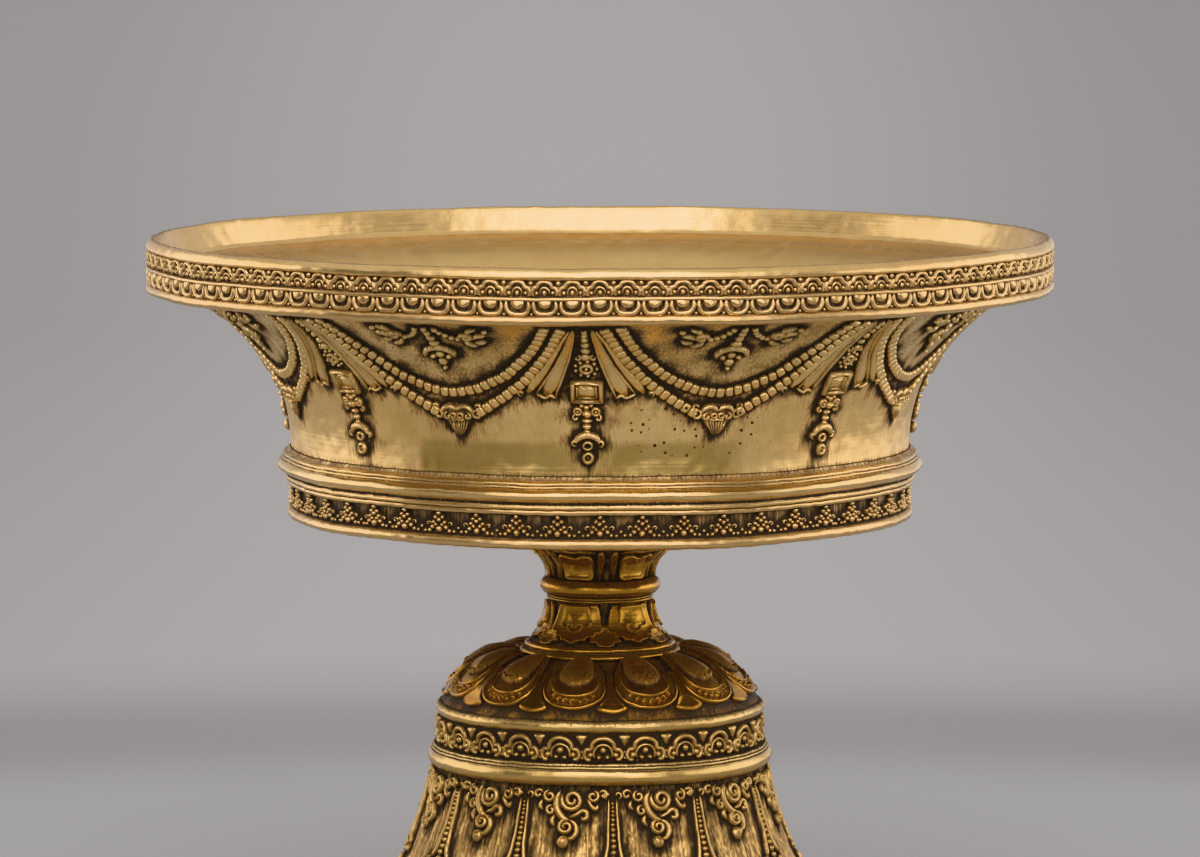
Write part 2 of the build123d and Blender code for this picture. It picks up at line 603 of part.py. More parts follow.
def rim_band():
    """Ornamented band round the mouth: its ledge carries the basin's lip from below."""
    ground = RIM_BAND_RADIUS - RIM_GROUND_DEPTH
    lip_bottom = RIM_TOP - RIM_LIP_HEIGHT
    ridge_top = RIM_TOP - RIM_RIDGE_DROP
    ridge_bottom = ridge_top - RIM_RIDGE_HEIGHT
    border_top = RIM_BOTTOM + RIM_BORDER_HEIGHT
    seat = on_wall(FLARE_ANGLE, -SOLDER_GAP)
    ledge = seat[0] + (RIM_BOTTOM - seat[1]) * tan(FLARE_ANGLE)
    return turned(
        (ledge, RIM_BOTTOM),
        (ground, RIM_BOTTOM),
        Arc((RIM_BAND_RADIUS, (RIM_BOTTOM + border_top) / 2), (ground, border_top)),
        (ground, ridge_bottom),
        Arc((RIM_BAND_RADIUS, (ridge_top + ridge_bottom) / 2), (ground, ridge_top)),
        (ground, lip_bottom),
        Arc((RIM_BAND_RADIUS, (RIM_TOP + lip_bottom) / 2), (ground, RIM_TOP)),
        (MOUTH_RADIUS, RIM_TOP),
        on_lip(MOUTH_RADIUS, -SOLDER_GAP),
    )


def basin_moulding():
    """Double-bead moulding sleeved round the wall's foot, on the drum band's upper border."""
    bore = WALL_FOOT_RADIUS + SOLDER_GAP
    small_top = WALL_FOOT - MOULDING_HEIGHT / 12
    groove = WALL_FOOT - MOULDING_HEIGHT * 0.3
    main_bottom = DRUM_TOP + MOULDING_HEIGHT * 0.25
    groove_radius = (SMALL_BEAD_RADIUS + MOULDING_EDGE_RADIUS) / 2
    return turned(
        (bore, DRUM_TOP),
        (MOULDING_EDGE_RADIUS, DRUM_TOP),
        (groove_radius, main_bottom),
        Arc((MOULDING_RADIUS, (main_bottom + groove) / 2), (groove_radius, groove)),
        Arc((SMALL_BEAD_RADIUS, (groove + small_top) / 2), (MOULDING_EDGE_RADIUS, small_top)),
        (MOULDING_EDGE_RADIUS, WALL_FOOT),
        (bore, WALL_FOOT),
    )


def drum_band():
    """Ornamented band under the moulding, sunk between two borders."""
    top_border = DRUM_TOP - DRUM_TOP_BORDER_HEIGHT
    foot_border = DRUM_BOTTOM + DRUM_FOOT_BORDER_HEIGHT
    return turned(
        (DRUM_BORE_RADIUS, DRUM_BOTTOM),
        (WALL_FOOT_RADIUS, DRUM_BOTTOM),
        Arc((DRUM_FOOT_BORDER_RADIUS, (DRUM_BOTTOM + foot_border) / 2), (WALL_FOOT_RADIUS, foot_border)),
        (WALL_FOOT_RADIUS, top_border),
        (DRUM_TOP_BORDER_RADIUS, top_border),
        (DRUM_TOP_BORDER_RADIUS, DRUM_TOP),
        (DRUM_BORE_RADIUS, DRUM_TOP),
    )


def bowl_stud():
    """Iron stud: its collar bears on the basin from below, its tail screws into the core."""
    tail = CALYX_TOP - STUD_ENGAGEMENT
    return turned(
        (0, tail),
        (STUD_RADIUS, tail),
        (STUD_RADIUS, BASIN_BOTTOM),
        (STUD_COLLAR_RADIUS, BASIN_BOTTOM),
        (STUD_COLLAR_RADIUS, BASIN_BOTTOM + STUD_COLLAR_HEIGHT),
        (STUD_RADIUS, BASIN_BOTTOM + STUD_COLLAR_HEIGHT),
        (STUD_RADIUS, SOCKET_BOTTOM + STUD_TAIL_IN_SOCKET),
        (0, SOCKET_BOTTOM + STUD_TAIL_IN_SOCKET),
    )


def socket_seal():
    """Leather washer that keeps melted butter out of the stud's hole."""
    bore = STUD_RADIUS + WICK_GAP
    return turned(
        (bore, FLOOR_TOP),
        (SOCKET_FLANGE_RADIUS, FLOOR_TOP),
        (SOCKET_FLANGE_RADIUS, SOCKET_BOTTOM),
        (bore, SOCKET_BOTTOM),
    )


def wick_socket():
    """Flanged tube screwed onto the stud from inside the basin, with the wick's bore on top."""
    thread = STUD_RADIUS + THREAD_GAP
    flange_top = SOCKET_BOTTOM + SOCKET_FLANGE_HEIGHT
    top = WICK_BOTTOM + SOCKET_DEPTH
    return turned(
        (thread, SOCKET_BOTTOM),
        (SOCKET_FLANGE_RADIUS, SOCKET_BOTTOM),
        (SOCKET_FLANGE_RADIUS, flange_top),
        (SOCKET_RADIUS, flange_top),
        (SOCKET_RADIUS, top),
        (WICK_BORE_RADIUS, top),
        (WICK_BORE_RADIUS, WICK_BOTTOM),
        (0, WICK_BOTTOM),
        (0, WICK_BOTTOM - SOCKET_WEB),
        (thread, WICK_BOTTOM - SOCKET_WEB),
    )


def wick_stick():
    """Thin splint that stiffens the wick."""
    length = WICK_HEIGHT - WICK_STICK_SHOW
    return Pos(0, 0, WICK_BOTTOM + length / 2) * Cylinder(WICK_STICK_RADIUS, length)


def wick_cotton():
    """Cotton wound on the splint: slim in the socket, full above it, drawn in to a tip."""
    slim = WICK_BORE_RADIUS - WICK_GAP
    hole = WICK_STICK_RADIUS
    socket_top = WICK_BOTTOM + SOCKET_DEPTH
    full = socket_top + WICK_GAP + WICK_RADIUS
    tip = WICK_BOTTOM + WICK_HEIGHT
    stick_tip = tip - WICK_STICK_SHOW
    return turned(
        (hole, WICK_BOTTOM),
        (slim, WICK_BOTTOM),
        (slim, socket_top + WICK_GAP),
        (WICK_RADIUS, full),
        (WICK_TIP_RADIUS, tip - WICK_TIP_RADIUS),
        Arc((WICK_TIP_RADIUS * cos(radians(45)), tip - WICK_TIP_RADIUS * (1 - sin(radians(45)))), (0, tip)),
        (0, stick_tip),
        (hole, stick_tip),
    )


PIECES = (
    foot_rim, foot_skirt, foot_ring, foot_band, foot_dome, stem_neck, stem_ring, stem_calyx,
    stem_core, core_washer, core_nut, seat_seal, basin, rim_band, basin_moulding, drum_band,
    bowl_stud, socket_seal, wick_socket, wick_stick, wick_cotton,
)

os.makedirs("parts", exist_ok=True)
for piece in PIECES:
    export_step(piece(), f"parts/{piece.__name__}.step")

wick_travel = RIM_TOP - WICK_BOTTOM + WICK_LIFT_CLEARANCE
print(f"height {RIM_TOP:.2f}, wick lift {wick_travel:.2f}, stud in core {STUD_ENGAGEMENT:.2f}")
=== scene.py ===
from math import atan2, cos, hypot, pi, radians, sin

import bpy
import numpy as np
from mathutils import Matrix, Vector, kdtree


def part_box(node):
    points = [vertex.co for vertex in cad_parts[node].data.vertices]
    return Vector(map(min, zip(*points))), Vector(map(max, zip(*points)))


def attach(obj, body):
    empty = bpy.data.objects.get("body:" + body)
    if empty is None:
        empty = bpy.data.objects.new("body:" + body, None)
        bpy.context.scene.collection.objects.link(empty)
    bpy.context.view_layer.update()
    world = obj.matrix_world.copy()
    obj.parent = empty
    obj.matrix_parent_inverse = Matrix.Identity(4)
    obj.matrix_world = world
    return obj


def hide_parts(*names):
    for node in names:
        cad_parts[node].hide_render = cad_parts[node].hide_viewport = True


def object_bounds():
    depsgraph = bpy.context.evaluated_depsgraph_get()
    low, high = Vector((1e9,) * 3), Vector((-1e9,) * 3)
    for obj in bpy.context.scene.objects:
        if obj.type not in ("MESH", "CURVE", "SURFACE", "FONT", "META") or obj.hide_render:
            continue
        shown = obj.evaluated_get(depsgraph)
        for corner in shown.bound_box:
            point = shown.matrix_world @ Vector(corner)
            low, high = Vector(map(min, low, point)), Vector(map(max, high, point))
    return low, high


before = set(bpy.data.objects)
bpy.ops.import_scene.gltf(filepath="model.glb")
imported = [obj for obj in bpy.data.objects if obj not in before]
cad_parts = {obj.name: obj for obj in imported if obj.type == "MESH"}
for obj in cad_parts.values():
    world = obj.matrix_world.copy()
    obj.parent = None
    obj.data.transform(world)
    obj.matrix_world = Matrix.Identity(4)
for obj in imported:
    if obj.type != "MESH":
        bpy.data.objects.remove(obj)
cad_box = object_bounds()


# Foot rim: the ring that the lamp stands on. Cast brass with a plain rounded border, a sunk ground
# punched with a row of pearls, and a turned bead that the skirt's lower edge is soldered behind.

PER_METRE = 1000


def eased(corners, round_mm=0.45, step=3.0, straight=-0.97):
    """A closed outline of (radius, height, recess) in millimetres with its corners rounded off."""
    pts = np.array(corners, float)
    out = []
    for here, before, after in zip(pts, np.roll(pts, 1, 0), np.roll(pts, -1, 0)):
        back, on = before[:2] - here[:2], after[:2] - here[:2]
        lb, lo = max(np.hypot(*back), 1e-6), max(np.hypot(*on), 1e-6)
        bend = np.dot(back, on) / (lb * lo)
        if bend < straight or here[0] < 1e-6:
            out.append(here)
            continue
        cut = min(round_mm, lb * 0.4, lo * 0.4)
        a, c = here + (before - here) * cut / lb, here + (after - here) * cut / lo
        out += [a, (a + c) / 4 + here / 2, c]
    dense = []
    for a, b in zip(out, out[1:] + out[:1]):
        parts = max(1, int(np.hypot(*(b - a)[:2]) / step))
        dense += [a + (b - a) * k / parts for k in range(parts)]
    return np.array(dense)


def swell(start, through, end, parts=8):
    """Points of a round stretch of an outline, from start through a point to end, with its recess."""
    (ax, ay, ar), (bx, by, br), (cx, cy, cr) = start, through, end
    d = 2 * (ax * (by - cy) + bx * (cy - ay) + cx * (ay - by))
    ux = ((ax**2 + ay**2) * (by - cy) + (bx**2 + by**2) * (cy - ay) + (cx**2 + cy**2) * (ay - by)) / d
    uy = ((ax**2 + ay**2) * (cx - bx) + (bx**2 + by**2) * (ax - cx) + (cx**2 + cy**2) * (bx - ax)) / d
    rad = hypot(ax - ux, ay - uy)
    t0, t1, t2 = (atan2(y - uy, x - ux) for x, y in ((ax, ay), (bx, by), (cx, cy)))
    way = 1 if d > 0 else -1
    sweep = (way * (t2 - t0)) % (2 * pi)
    half = (way * (t1 - t0)) % (2 * pi)
    rows = []
    for k in range(parts + 1):
        a = sweep * k / parts
        rec = ar + (br - ar) * a / half if a < half else br + (cr - br) * (a - half) / (sweep - half)
        rows.append((ux + rad * cos(t0 + way * a), uy + rad * sin(t0 + way * a), rec))
    return rows


def plain_mesh(name, points, faces, recess):
    """A smooth mesh object from points in metres, with how sunk each point is as an attribute."""
    mesh = bpy.data.meshes.new(name)
    mesh.from_pydata(points, [], faces)
    mesh.polygons.foreach_set("use_smooth", [True] * len(mesh.polygons))
    sunk = mesh.attributes.new("recess", "FLOAT", "POINT")
    sunk.data.foreach_set("value", np.asarray(recess, np.float32))
    piece = bpy.data.objects.new(name, mesh)
    bpy.context.scene.collection.objects.link(piece)
    return piece


def turned(name, outline, columns, shape=None):
    """A casting turned about the lamp's axis. shape(turns, r, z, recess) may move and stain it."""
    outline = np.asarray(outline, float)
    rows = len(outline)
    turns = np.arange(columns) * 2 * pi / columns
    r = np.repeat(outline[:, 0:1], columns, 1)
    z = np.repeat(outline[:, 1:2], columns, 1)
    rec = np.repeat(outline[:, 2:3], columns, 1)
    if shape:
        r, z, rec = shape(turns, r, z, rec)
    points = np.stack([r * np.sin(turns), -r * np.cos(turns), z], -1).reshape(-1, 3) / PER_METRE
    i, j = np.meshgrid(np.arange(rows), np.arange(columns), indexing="ij")
    n, k = (i + 1) % rows, (j + 1) % columns
    faces = np.stack([i * columns + j, i * columns + k, n * columns + k, n * columns + j], -1)
    return plain_mesh(name, points.tolist(), faces.reshape(-1, 4).tolist(), rec.ravel())


def fill(tree, made, inputs):
    """Links or sets a node's inputs."""
    for key, value in inputs.items():
        if isinstance(value, bpy.types.NodeSocket):
            tree.links.new(value, made.inputs[key])
        else:
            made.inputs[key].default_value = value
    return made


def node(tree, kind, inputs=None, **settings):
    """Adds a node to a tree with its settings and inputs."""
    made = tree.nodes.new(kind)
    for key, value in settings.items():
        setattr(made, key, value)
    return fill(tree, made, inputs or {})


def ring_tree():
    """Repeats a casting round the axis and lets its surface wander, but not below or above the lamp."""
    tree = bpy.data.node_groups.new("ring of castings", "GeometryNodeTree")
    for label, kind in (("Casting", "Geometry"), ("Repeats", "Int"), ("First angle", "Float"),
                        ("Wander", "Float"), ("Ripple", "Float"), ("Finish", "Material")):
        tree.interface.new_socket(label, in_out="INPUT", socket_type="NodeSocket" + kind)
    tree.interface.new_socket("Ring", in_out="OUTPUT", socket_type="NodeSocketGeometry")
    given = tree.nodes.new("NodeGroupInput").outputs
    spots = node(tree, "GeometryNodePoints", {"Count": given["Repeats"]})
    index = node(tree, "GeometryNodeInputIndex")
    share = node(tree, "ShaderNodeMath", {0: index.outputs[0], 1: given["Repeats"]}, operation="DIVIDE")
    angle = node(tree, "ShaderNodeMath", {0: share.outputs[0], 1: 2 * pi, 2: given["First angle"]},
                 operation="MULTIPLY_ADD")
    turn = node(tree, "ShaderNodeCombineXYZ", {"Z": angle.outputs[0]})
    ring = node(tree, "GeometryNodeInstanceOnPoints", {
        "Points": spots.outputs[0], "Instance": given["Casting"], "Rotation": turn.outputs[0]})
    solid = node(tree, "GeometryNodeRealizeInstances", {"Geometry": ring.outputs[0]})
    joined = node(tree, "GeometryNodeMergeByDistance", {"Geometry": solid.outputs[0], "Distance": 1e-6})
    where = node(tree, "GeometryNodeInputPosition")
    moves = []
    for scale, amount in ((21.0, "Wander"), (270.0, "Ripple")):
        noise = node(tree, "ShaderNodeTexNoise",
                     {"Vector": where.outputs[0], "Scale": scale, "Detail": 1.0})
        centred = node(tree, "ShaderNodeVectorMath", {0: noise.outputs["Color"], 1: (0.5, 0.5, 0.5)},
                       operation="SUBTRACT")
        moves.append(node(tree, "ShaderNodeVectorMath", {0: centred.outputs[0], "Scale": given[amount]},
                          operation="SCALE"))
    both = node(tree, "ShaderNodeVectorMath", {0: moves[0].outputs[0], 1: moves[1].outputs[0]})
    strayed = node(tree, "ShaderNodeVectorMath", {0: where.outputs[0], 1: both.outputs[0]})
    stood = node(tree, "ShaderNodeVectorMath", {0: strayed.outputs[0], 1: (-1, -1, cad_box[0][2])},
                 operation="MAXIMUM")
    level = node(tree, "ShaderNodeVectorMath", {0: stood.outputs[0], 1: (1, 1, cad_box[1][2])},
                 operation="MINIMUM")
    moved = node(tree, "GeometryNodeSetPosition",
                 {"Geometry": joined.outputs[0], "Position": level.outputs[0]})
    done = node(tree, "GeometryNodeSetMaterial",
                {"Geometry": moved.outputs[0], "Material": given["Finish"]})
    node(tree, "NodeGroupOutput", {"Ring": done.outputs[0]})
    return tree


RING = ring_tree()


def settle(piece, tree, values):
    """Runs a node tree on a piece with the given inputs and keeps the result as its plain mesh."""
    run = piece.modifiers.new(tree.name, "NODES")
    run.node_group = tree
    names = {item.name: item.identifier for item in tree.interface.items_tree if item.in_out == "INPUT"}
    for label, value in values.items():
        run[names[label]] = value
    graph = bpy.context.evaluated_depsgraph_get()
    mesh = bpy.data.meshes.new_from_object(piece.evaluated_get(graph), preserve_all_data_layers=True,
                                           depsgraph=graph)
    piece.modifiers.clear()
    old = piece.data
    piece.data = mesh
    bpy.data.meshes.remove(old)
    return piece


def cast(piece, finish, repeats=1, first=0.0, wander=0.0012, ripple=0.0006):
    """One cast ring: a piece, or repeats of it round the axis, with its finish."""
    return settle(piece, RING, {"Repeats": repeats, "First angle": radians(first), "Wander": wander,
                                "Ripple": ripple, "Finish": finish})


def seat(piece, body, slot, *nodes):
    """Joins a piece to the body it moves with and hides the solids it stands for; its finish's slot is not
    used.
    """
    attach(piece, body)
    if nodes:
        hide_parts(*nodes)


def ranged(tree, value, low, high, start=0.0, end=1.0, way="SMOOTHSTEP"):
    """A value that goes from start to end while another goes from low to high."""
    return node(tree, "ShaderNodeMapRange",
                {"Value": value, "From Min": low, "From Max": high, "To Min": start, "To Max": end},
                interpolation_type=way).outputs[0]


def mixed(tree, share, first, second, way="MIX"):
    """A share of the second colour over the first."""
    return node(tree, "ShaderNodeMix", {"Factor": share, 6: first, 7: second}, data_type="RGBA",
                blend_type=way).outputs[2]


def bumped(tree, height, strength, distance):
    """A normal that follows fine heights."""
    return node(tree, "ShaderNodeBump",
                {"Height": height, "Strength": strength, "Distance": distance}).outputs[0]


def brass_group():
    """Aged brass: rubbed gold, then a brown film, then a near-black patina as it gets more sunk."""
    tree = bpy.data.node_groups.new("aged brass", "ShaderNodeTree")
    for label, kind in (("Recess", "Float"), ("Patina", "Float"), ("Gold", "Color"), ("Amber", "Color"),
                        ("Amber share", "Float"), ("Pits", "Float"), ("Polish", "Float")):
        tree.interface.new_socket(label, in_out="INPUT", socket_type="NodeSocket" + kind)
    for label, kind in (("Color", "Color"), ("Roughness", "Float"), ("Metallic", "Float"),
                        ("Height", "Float")):
        tree.interface.new_socket(label, in_out="OUTPUT", socket_type="NodeSocket" + kind)
    given = tree.nodes.new("NodeGroupInput").outputs
    place = node(tree, "ShaderNodeTexCoord").outputs["Object"]

    def noise(stretch, detail=3.0):
        spread = node(tree, "ShaderNodeMapping", {"Vector": place, "Scale": stretch})
        return node(tree, "ShaderNodeTexNoise", {"Vector": spread.outputs[0], "Scale": 1.0,
                                                 "Detail": detail}).outputs["Fac"]

    def math(operation, *values):
        return node(tree, "ShaderNodeMath", dict(enumerate(values)), operation=operation).outputs[0]

    def soft(value, low, high, top=1.0):
        return ranged(tree, value, low, high, end=top)

    cloud = noise((24, 24, 24), 4.0)
    grain = noise((700, 700, 700))
    smear = noise((130, 130, 90), 3.0)
    lathe = noise((15, 15, 900), 2.0)
    drag = noise((1300, 1300, 150), 2.0)
    strokes = math("MULTIPLY_ADD", math("SUBTRACT", drag, 0.5), 1.3,
                   math("MULTIPLY", math("SUBTRACT", smear, 0.5), 0.8))
    near = soft(given["Recess"], 0.06, 0.3)
    sunk = math("MULTIPLY_ADD", strokes, near, given["Recess"])
    film = soft(sunk, 0.08, 0.52)
    deep = math("MULTIPLY_ADD", strokes, math("MULTIPLY", near, 0.55), given["Recess"])
    black = soft(deep, 0.36, 0.85, given["Patina"])
    axes = node(tree, "ShaderNodeSeparateXYZ", {0: place}).outputs
    front = node(tree, "ShaderNodeCombineXYZ", {0: axes[0], 1: axes[2]}).outputs[0]
    cells = node(tree, "ShaderNodeTexVoronoi", {"Vector": front, "Scale": 290.0}, voronoi_dimensions="2D")
    chance = node(tree, "ShaderNodeSeparateColor", {0: cells.outputs["Color"]}).outputs[0]
    spread = math("MULTIPLY_ADD", math("POWER", chance, 1.3), 0.14, 0.035)
    pit = soft(math("SUBTRACT", spread, cells.outputs["Distance"]), 0.0, 0.03)
    pits = math("MULTIPLY", pit, given["Pits"])
    hatch = math("ADD", soft(drag, 0.36, 0.64, 0.2), soft(lathe, 0.38, 0.62, 0.12))
    mottled = math("ADD", soft(smear, 0.40, 0.62, 0.5), soft(cloud, 0.35, 0.68, 0.5))
    warmth = math("MULTIPLY", math("ADD", hatch, mottled), given["Amber share"])
    metal = mixed(tree, warmth, given["Gold"], given["Amber"])
    brown = mixed(tree, 1.0, given["Gold"], (0.47, 0.42, 0.41, 1), "MULTIPLY")
    browned = mixed(tree, math("MULTIPLY", film, 0.8), metal, brown)
    dark = math("MAXIMUM", black, pits)
    color = mixed(tree, dark, browned, (0.020, 0.012, 0.007, 1))
    wear_and_painted_tint = math("MULTIPLY_ADD", math("SUBTRACT", cloud, 0.5), 0.16,
                math("MULTIPLY_ADD", math("SUBTRACT", lathe, 0.5), 0.08, given["Polish"]))
    rough = math("MULTIPLY_ADD", dark, 0.20, math("MULTIPLY_ADD", film, 0.34, wear_and_painted_tint))
    metallic = math("MULTIPLY_ADD", dark, -0.35, math("MULTIPLY_ADD", film, -0.25, 1.0))
    scraped = math("MULTIPLY_ADD", lathe, 0.5,
                   math("MULTIPLY_ADD", smear, 0.7, math("MULTIPLY", grain, 0.25)))
    height = math("SUBTRACT", scraped, math("MULTIPLY", pits, 2.0))
    node(tree, "NodeGroupOutput", {"Color": color, "Roughness": rough, "Metallic": metallic,
                                   "Height": height})
    return tree


BRASS = brass_group()


def new_finish(name):
    """A new material: itself, its node tree, its shader, and where each point of the piece is."""
    finish = bpy.data.materials.new(name)
    finish.use_nodes = True
    tree = finish.node_tree
    return finish, tree, tree.nodes["Principled BSDF"], node(tree, "ShaderNodeTexCoord").outputs["Object"]


def brass(name, patina=0.95, gold=(0.77, 0.52, 0.23), amber=(0.60, 0.37, 0.13), amber_share=0.4,
          polish=0.24, bump=0.16, coat=0.0, pitted=None, painted_tints=()):
    """A brass finish: its patina, two tones, polish, a pitted spot and fields tinted as painted reflection.
    """
    finish, tree, shader, place = new_finish(name)
    sunk = node(tree, "ShaderNodeAttribute", attribute_name="recess")
    aged = node(tree, "ShaderNodeGroup", node_tree=BRASS)
    fill(tree, aged, {"Recess": sunk.outputs["Fac"], "Patina": patina, "Gold": (*gold, 1),
                      "Amber": (*amber, 1), "Amber share": amber_share, "Polish": polish})
    if pitted:
        apart = node(tree, "ShaderNodeVectorMath", {0: place, 1: pitted}, operation="SUBTRACT")
        wide = node(tree, "ShaderNodeVectorMath", {0: apart.outputs[0], 1: (1, 1, 2.2)},
                    operation="MULTIPLY")
        away = node(tree, "ShaderNodeVectorMath", {0: wide.outputs[0]},
                    operation="LENGTH").outputs["Value"]
        fill(tree, aged, {"Pits": ranged(tree, away, 0.036, 0.016)})
    tone = aged.outputs["Color"]
    # Painted reflection: each field multiplies the colour by its tint where the object position lies in its
    # ranges.
    for tint, edges in painted_tints:
        axes = node(tree, "ShaderNodeSeparateXYZ", {0: place}).outputs
        wear_and_painted_tint = 1.0
        for axis, start, end in edges:
            edge = ranged(tree, axes[axis], start, end)
            wear_and_painted_tint = node(tree, "ShaderNodeMath", {0: edge, 1: wear_and_painted_tint}, operation="MULTIPLY").outputs[0]
        tone = mixed(tree, wear_and_painted_tint, tone, (*tint, 1), "MULTIPLY")
    fill(tree, shader, {"Base Color": tone, "Roughness": aged.outputs["Roughness"],
                        "Metallic": aged.outputs["Metallic"], "Coat Weight": coat, "Coat Roughness": 0.16,
                        "Normal": bumped(tree, aged.outputs["Height"], bump, 0.0008)})
    return finish


class Relief:
    """Raised work drawn flat in millimetres: across the ring, up it, and out from its ground."""

    SINK = 0.5
    DARK_UP_TO, FADES_OVER = 0.12, 0.72

    def __init__(self):
        self.points, self.faces, self.recess = [], [], []

    def add(self, points, faces, rise):
        start = len(self.points)
        self.points += points
        self.faces += [[start + k for k in face] for face in faces]
        self.recess += [1.0 - min(1.0, max(0.0,
                                           (p[2] - self.DARK_UP_TO * rise) / (self.FADES_OVER * rise)))
                        for p in points]

    def pearl(self, x, y, across, rise, up=None, lean=0.0, sides=9):
        """A raised drop or bead."""
        up = up or across
        points, faces = [], []
        for level, width in ((-self.SINK, 1.0), (0.35 * rise, 0.96), (0.72 * rise, 0.72),
                             (0.95 * rise, 0.34)):
            for k in range(sides):
                a = 2 * pi * k / sides
                dx, dy = across * width * cos(a), up * width * sin(a)
                points.append((x + dx * cos(lean) - dy * sin(lean), y + dx * sin(lean) + dy * cos(lean),
                               level))
        points.append((x, y, rise))
        for ring in range(3):
            for k in range(sides):
                n = (k + 1) % sides
                faces.append([ring * sides + k, ring * sides + n, (ring + 1) * sides + n,
                              (ring + 1) * sides + k])
        faces += [[3 * sides + k, 3 * sides + (k + 1) % sides, 4 * sides] for k in range(sides)]
        faces.append(list(range(sides))[::-1])
        self.add(points, faces, rise)

    def ridge(self, path, width, rise, closed=False, taper=0.35, flat=False):
        """A raised line along a path, round or flat on top; its width may change, its ends are drawn in."""
        path = np.array(path, float)
        ahead, behind = np.roll(path, -1, 0), np.roll(path, 1, 0)
        if not closed:
            ahead[-1], behind[0] = path[-1], path[0]
        way = ahead - behind
        way /= np.maximum(np.hypot(*way.T), 1e-9)[:, None]
        side = np.stack([-way[:, 1], way[:, 0]], 1)
        count = len(path)
        widths = np.interp(np.linspace(0, 1, count), np.linspace(0, 1, np.size(width)),
                           np.atleast_1d(width))
        points, faces = [], []
        section = ((0.5, -self.SINK), (0.45, 0.55 * rise), (0.0, rise), (-0.45, 0.55 * rise),
                   (-0.5, -self.SINK))
        if flat:
            section = ((0.5, -self.SINK), (0.47, 0.7 * rise), (0.28, rise), (-0.28, rise),
                       (-0.47, 0.7 * rise), (-0.5, -self.SINK))
        for k in range(count):
            end = 1.0 if closed else min(1.0, taper + (1 - taper) * min(k, count - 1 - k) / 1.5)
            for off, level in section:
                spot = path[k] + side[k] * off * widths[k] * end
                points.append((spot[0], spot[1], level if level < 0 else level * (0.5 + 0.5 * end)))
        lanes = len(section)
        for k in range(count if closed else count - 1):
            n = (k + 1) % count
            faces += [[k * lanes + m, k * lanes + (m + 1) % lanes, n * lanes + (m + 1) % lanes,
                       n * lanes + m] for m in range(lanes)]
        if not closed:
            faces += [list(range(lanes))[::-1], [(count - 1) * lanes + m for m in range(lanes)]]
        self.add(points, faces, rise)

    def leaf(self, outline, steps, rise):
        """A raised field inside an outline that runs anticlockwise: steps are (share inwards, height)."""
        outline = np.array(outline, float)
        centre = outline.mean(0)
        count = len(outline)
        points, faces = [], []
        for inwards, level in ((0.0, -self.SINK), *steps):
            points += [(*(p + (centre - p) * inwards), level) for p in outline]
        points.append((*centre, steps[-1][1]))
        rings = len(steps)
        for ring in range(rings):
            for k in range(count):
                n = (k + 1) % count
                faces.append([ring * count + k, ring * count + n, (ring + 1) * count + n,
                              (ring + 1) * count + k])
        last = rings * count
        faces += [[last + k, last + (k + 1) % count, last + count] for k in range(count)]
        faces.append(list(range(count))[::-1])
        self.add(points, faces, rise)

    def wrap(self, name, ground, radius):
        """Lays the work on a ground; radius is where a millimetre across is a millimetre."""
        flat = np.array(self.points)
        points = ground(flat[:, 0] / radius, flat[:, 1], flat[:, 2])
        return plain_mesh(name, points.tolist(), self.faces, self.recess)


def ground_of(profile):
    """Maps angle, way up a profile of (radius, height) and rise off it, to points in metres."""
    line = np.array(profile, float)[:, :2]
    along = np.r_[0, np.cumsum(np.hypot(*np.diff(line, axis=0).T))]
    slope = np.gradient(line, along, axis=0)
    slope /= np.hypot(*slope.T)[:, None]

    def place(angle, way, rise):
        at = [np.interp(way, along, column) for column in (*line.T, *slope.T)]
        r = at[0] + rise * at[3]
        z = at[1] - rise * at[2]
        return np.stack([r * np.sin(angle), -r * np.cos(angle), z], -1) / PER_METRE

    place.length = along[-1]
    return place


def rounded(points, parts=4, closed=False):
    """A smooth line through the points."""
    pts = np.array(points, float)
    if closed:
        pts = np.vstack([pts[-1], pts, pts[:2]])
    else:
        pts = np.vstack([2 * pts[0] - pts[1], pts, 2 * pts[-1] - pts[-2]])
    out = []
    for a, b, c, d in zip(pts, pts[1:], pts[2:], pts[3:]):
        for k in range(parts):
            t = k / parts
            out.append(0.5 * (2 * b + (c - a) * t + (2 * a - 5 * b + 4 * c - d) * t**2
                              + (3 * b - a - 3 * c + d) * t**3))
    if not closed:
        out.append(pts[-2])
    return np.array(out)


FOOT_BRASS = brass("foot brass", gold=(0.57, 0.37, 0.14), amber=(0.42, 0.25, 0.08), amber_share=0.6,
                   polish=0.33, bump=0.22)

foot_rim = turned("foot_rim_casting", eased([
    (93.2, 0.05, 0.5), (105.9, 0.05, 0.3), (105.9, 3.9, 0.0), (104.7, 5.0, 0.2), (103.4, 5.0, 1.0),
    (103.4, 11.0, 1.0), *swell((103.5, 11.1, 0.6), (104.9, 13.4, 0.0), (102.4, 15.95, 0.3)),
    (96.1, 15.95, 0.8), (96.1, 13.5, 0.8), (93.2, 13.5, 0.8)]), columns=180)
cast(foot_rim, FOOT_BRASS)
seat(foot_rim, "pedestal", "foot_brass", "foot_rim")

PEARLS_ROUND = 96
pearls = Relief()
pearls.pearl(0, 3.0, 2.3, 1.5, sides=12)
pearls.ridge(rounded([(-3.0, 5.4), (-2.9, 2.6), (0, 0.6), (2.9, 2.6), (3.0, 5.4)], 3), 0.8, 0.9)
foot_pearls = pearls.wrap("foot_rim_pearls", ground_of([(103.4, 5.0), (103.4, 8.0), (103.4, 11.0)]), 103.4)
cast(foot_pearls, FOOT_BRASS, PEARLS_ROUND)
seat(foot_pearls, "pedestal", "foot_brass")


# Foot skirt: the bell-shaped casting between the foot rim and the plain ring. Brass, its ground
# scraped into fine upright flutes, with beaded ribs, scroll pendants and a lotus border in relief.

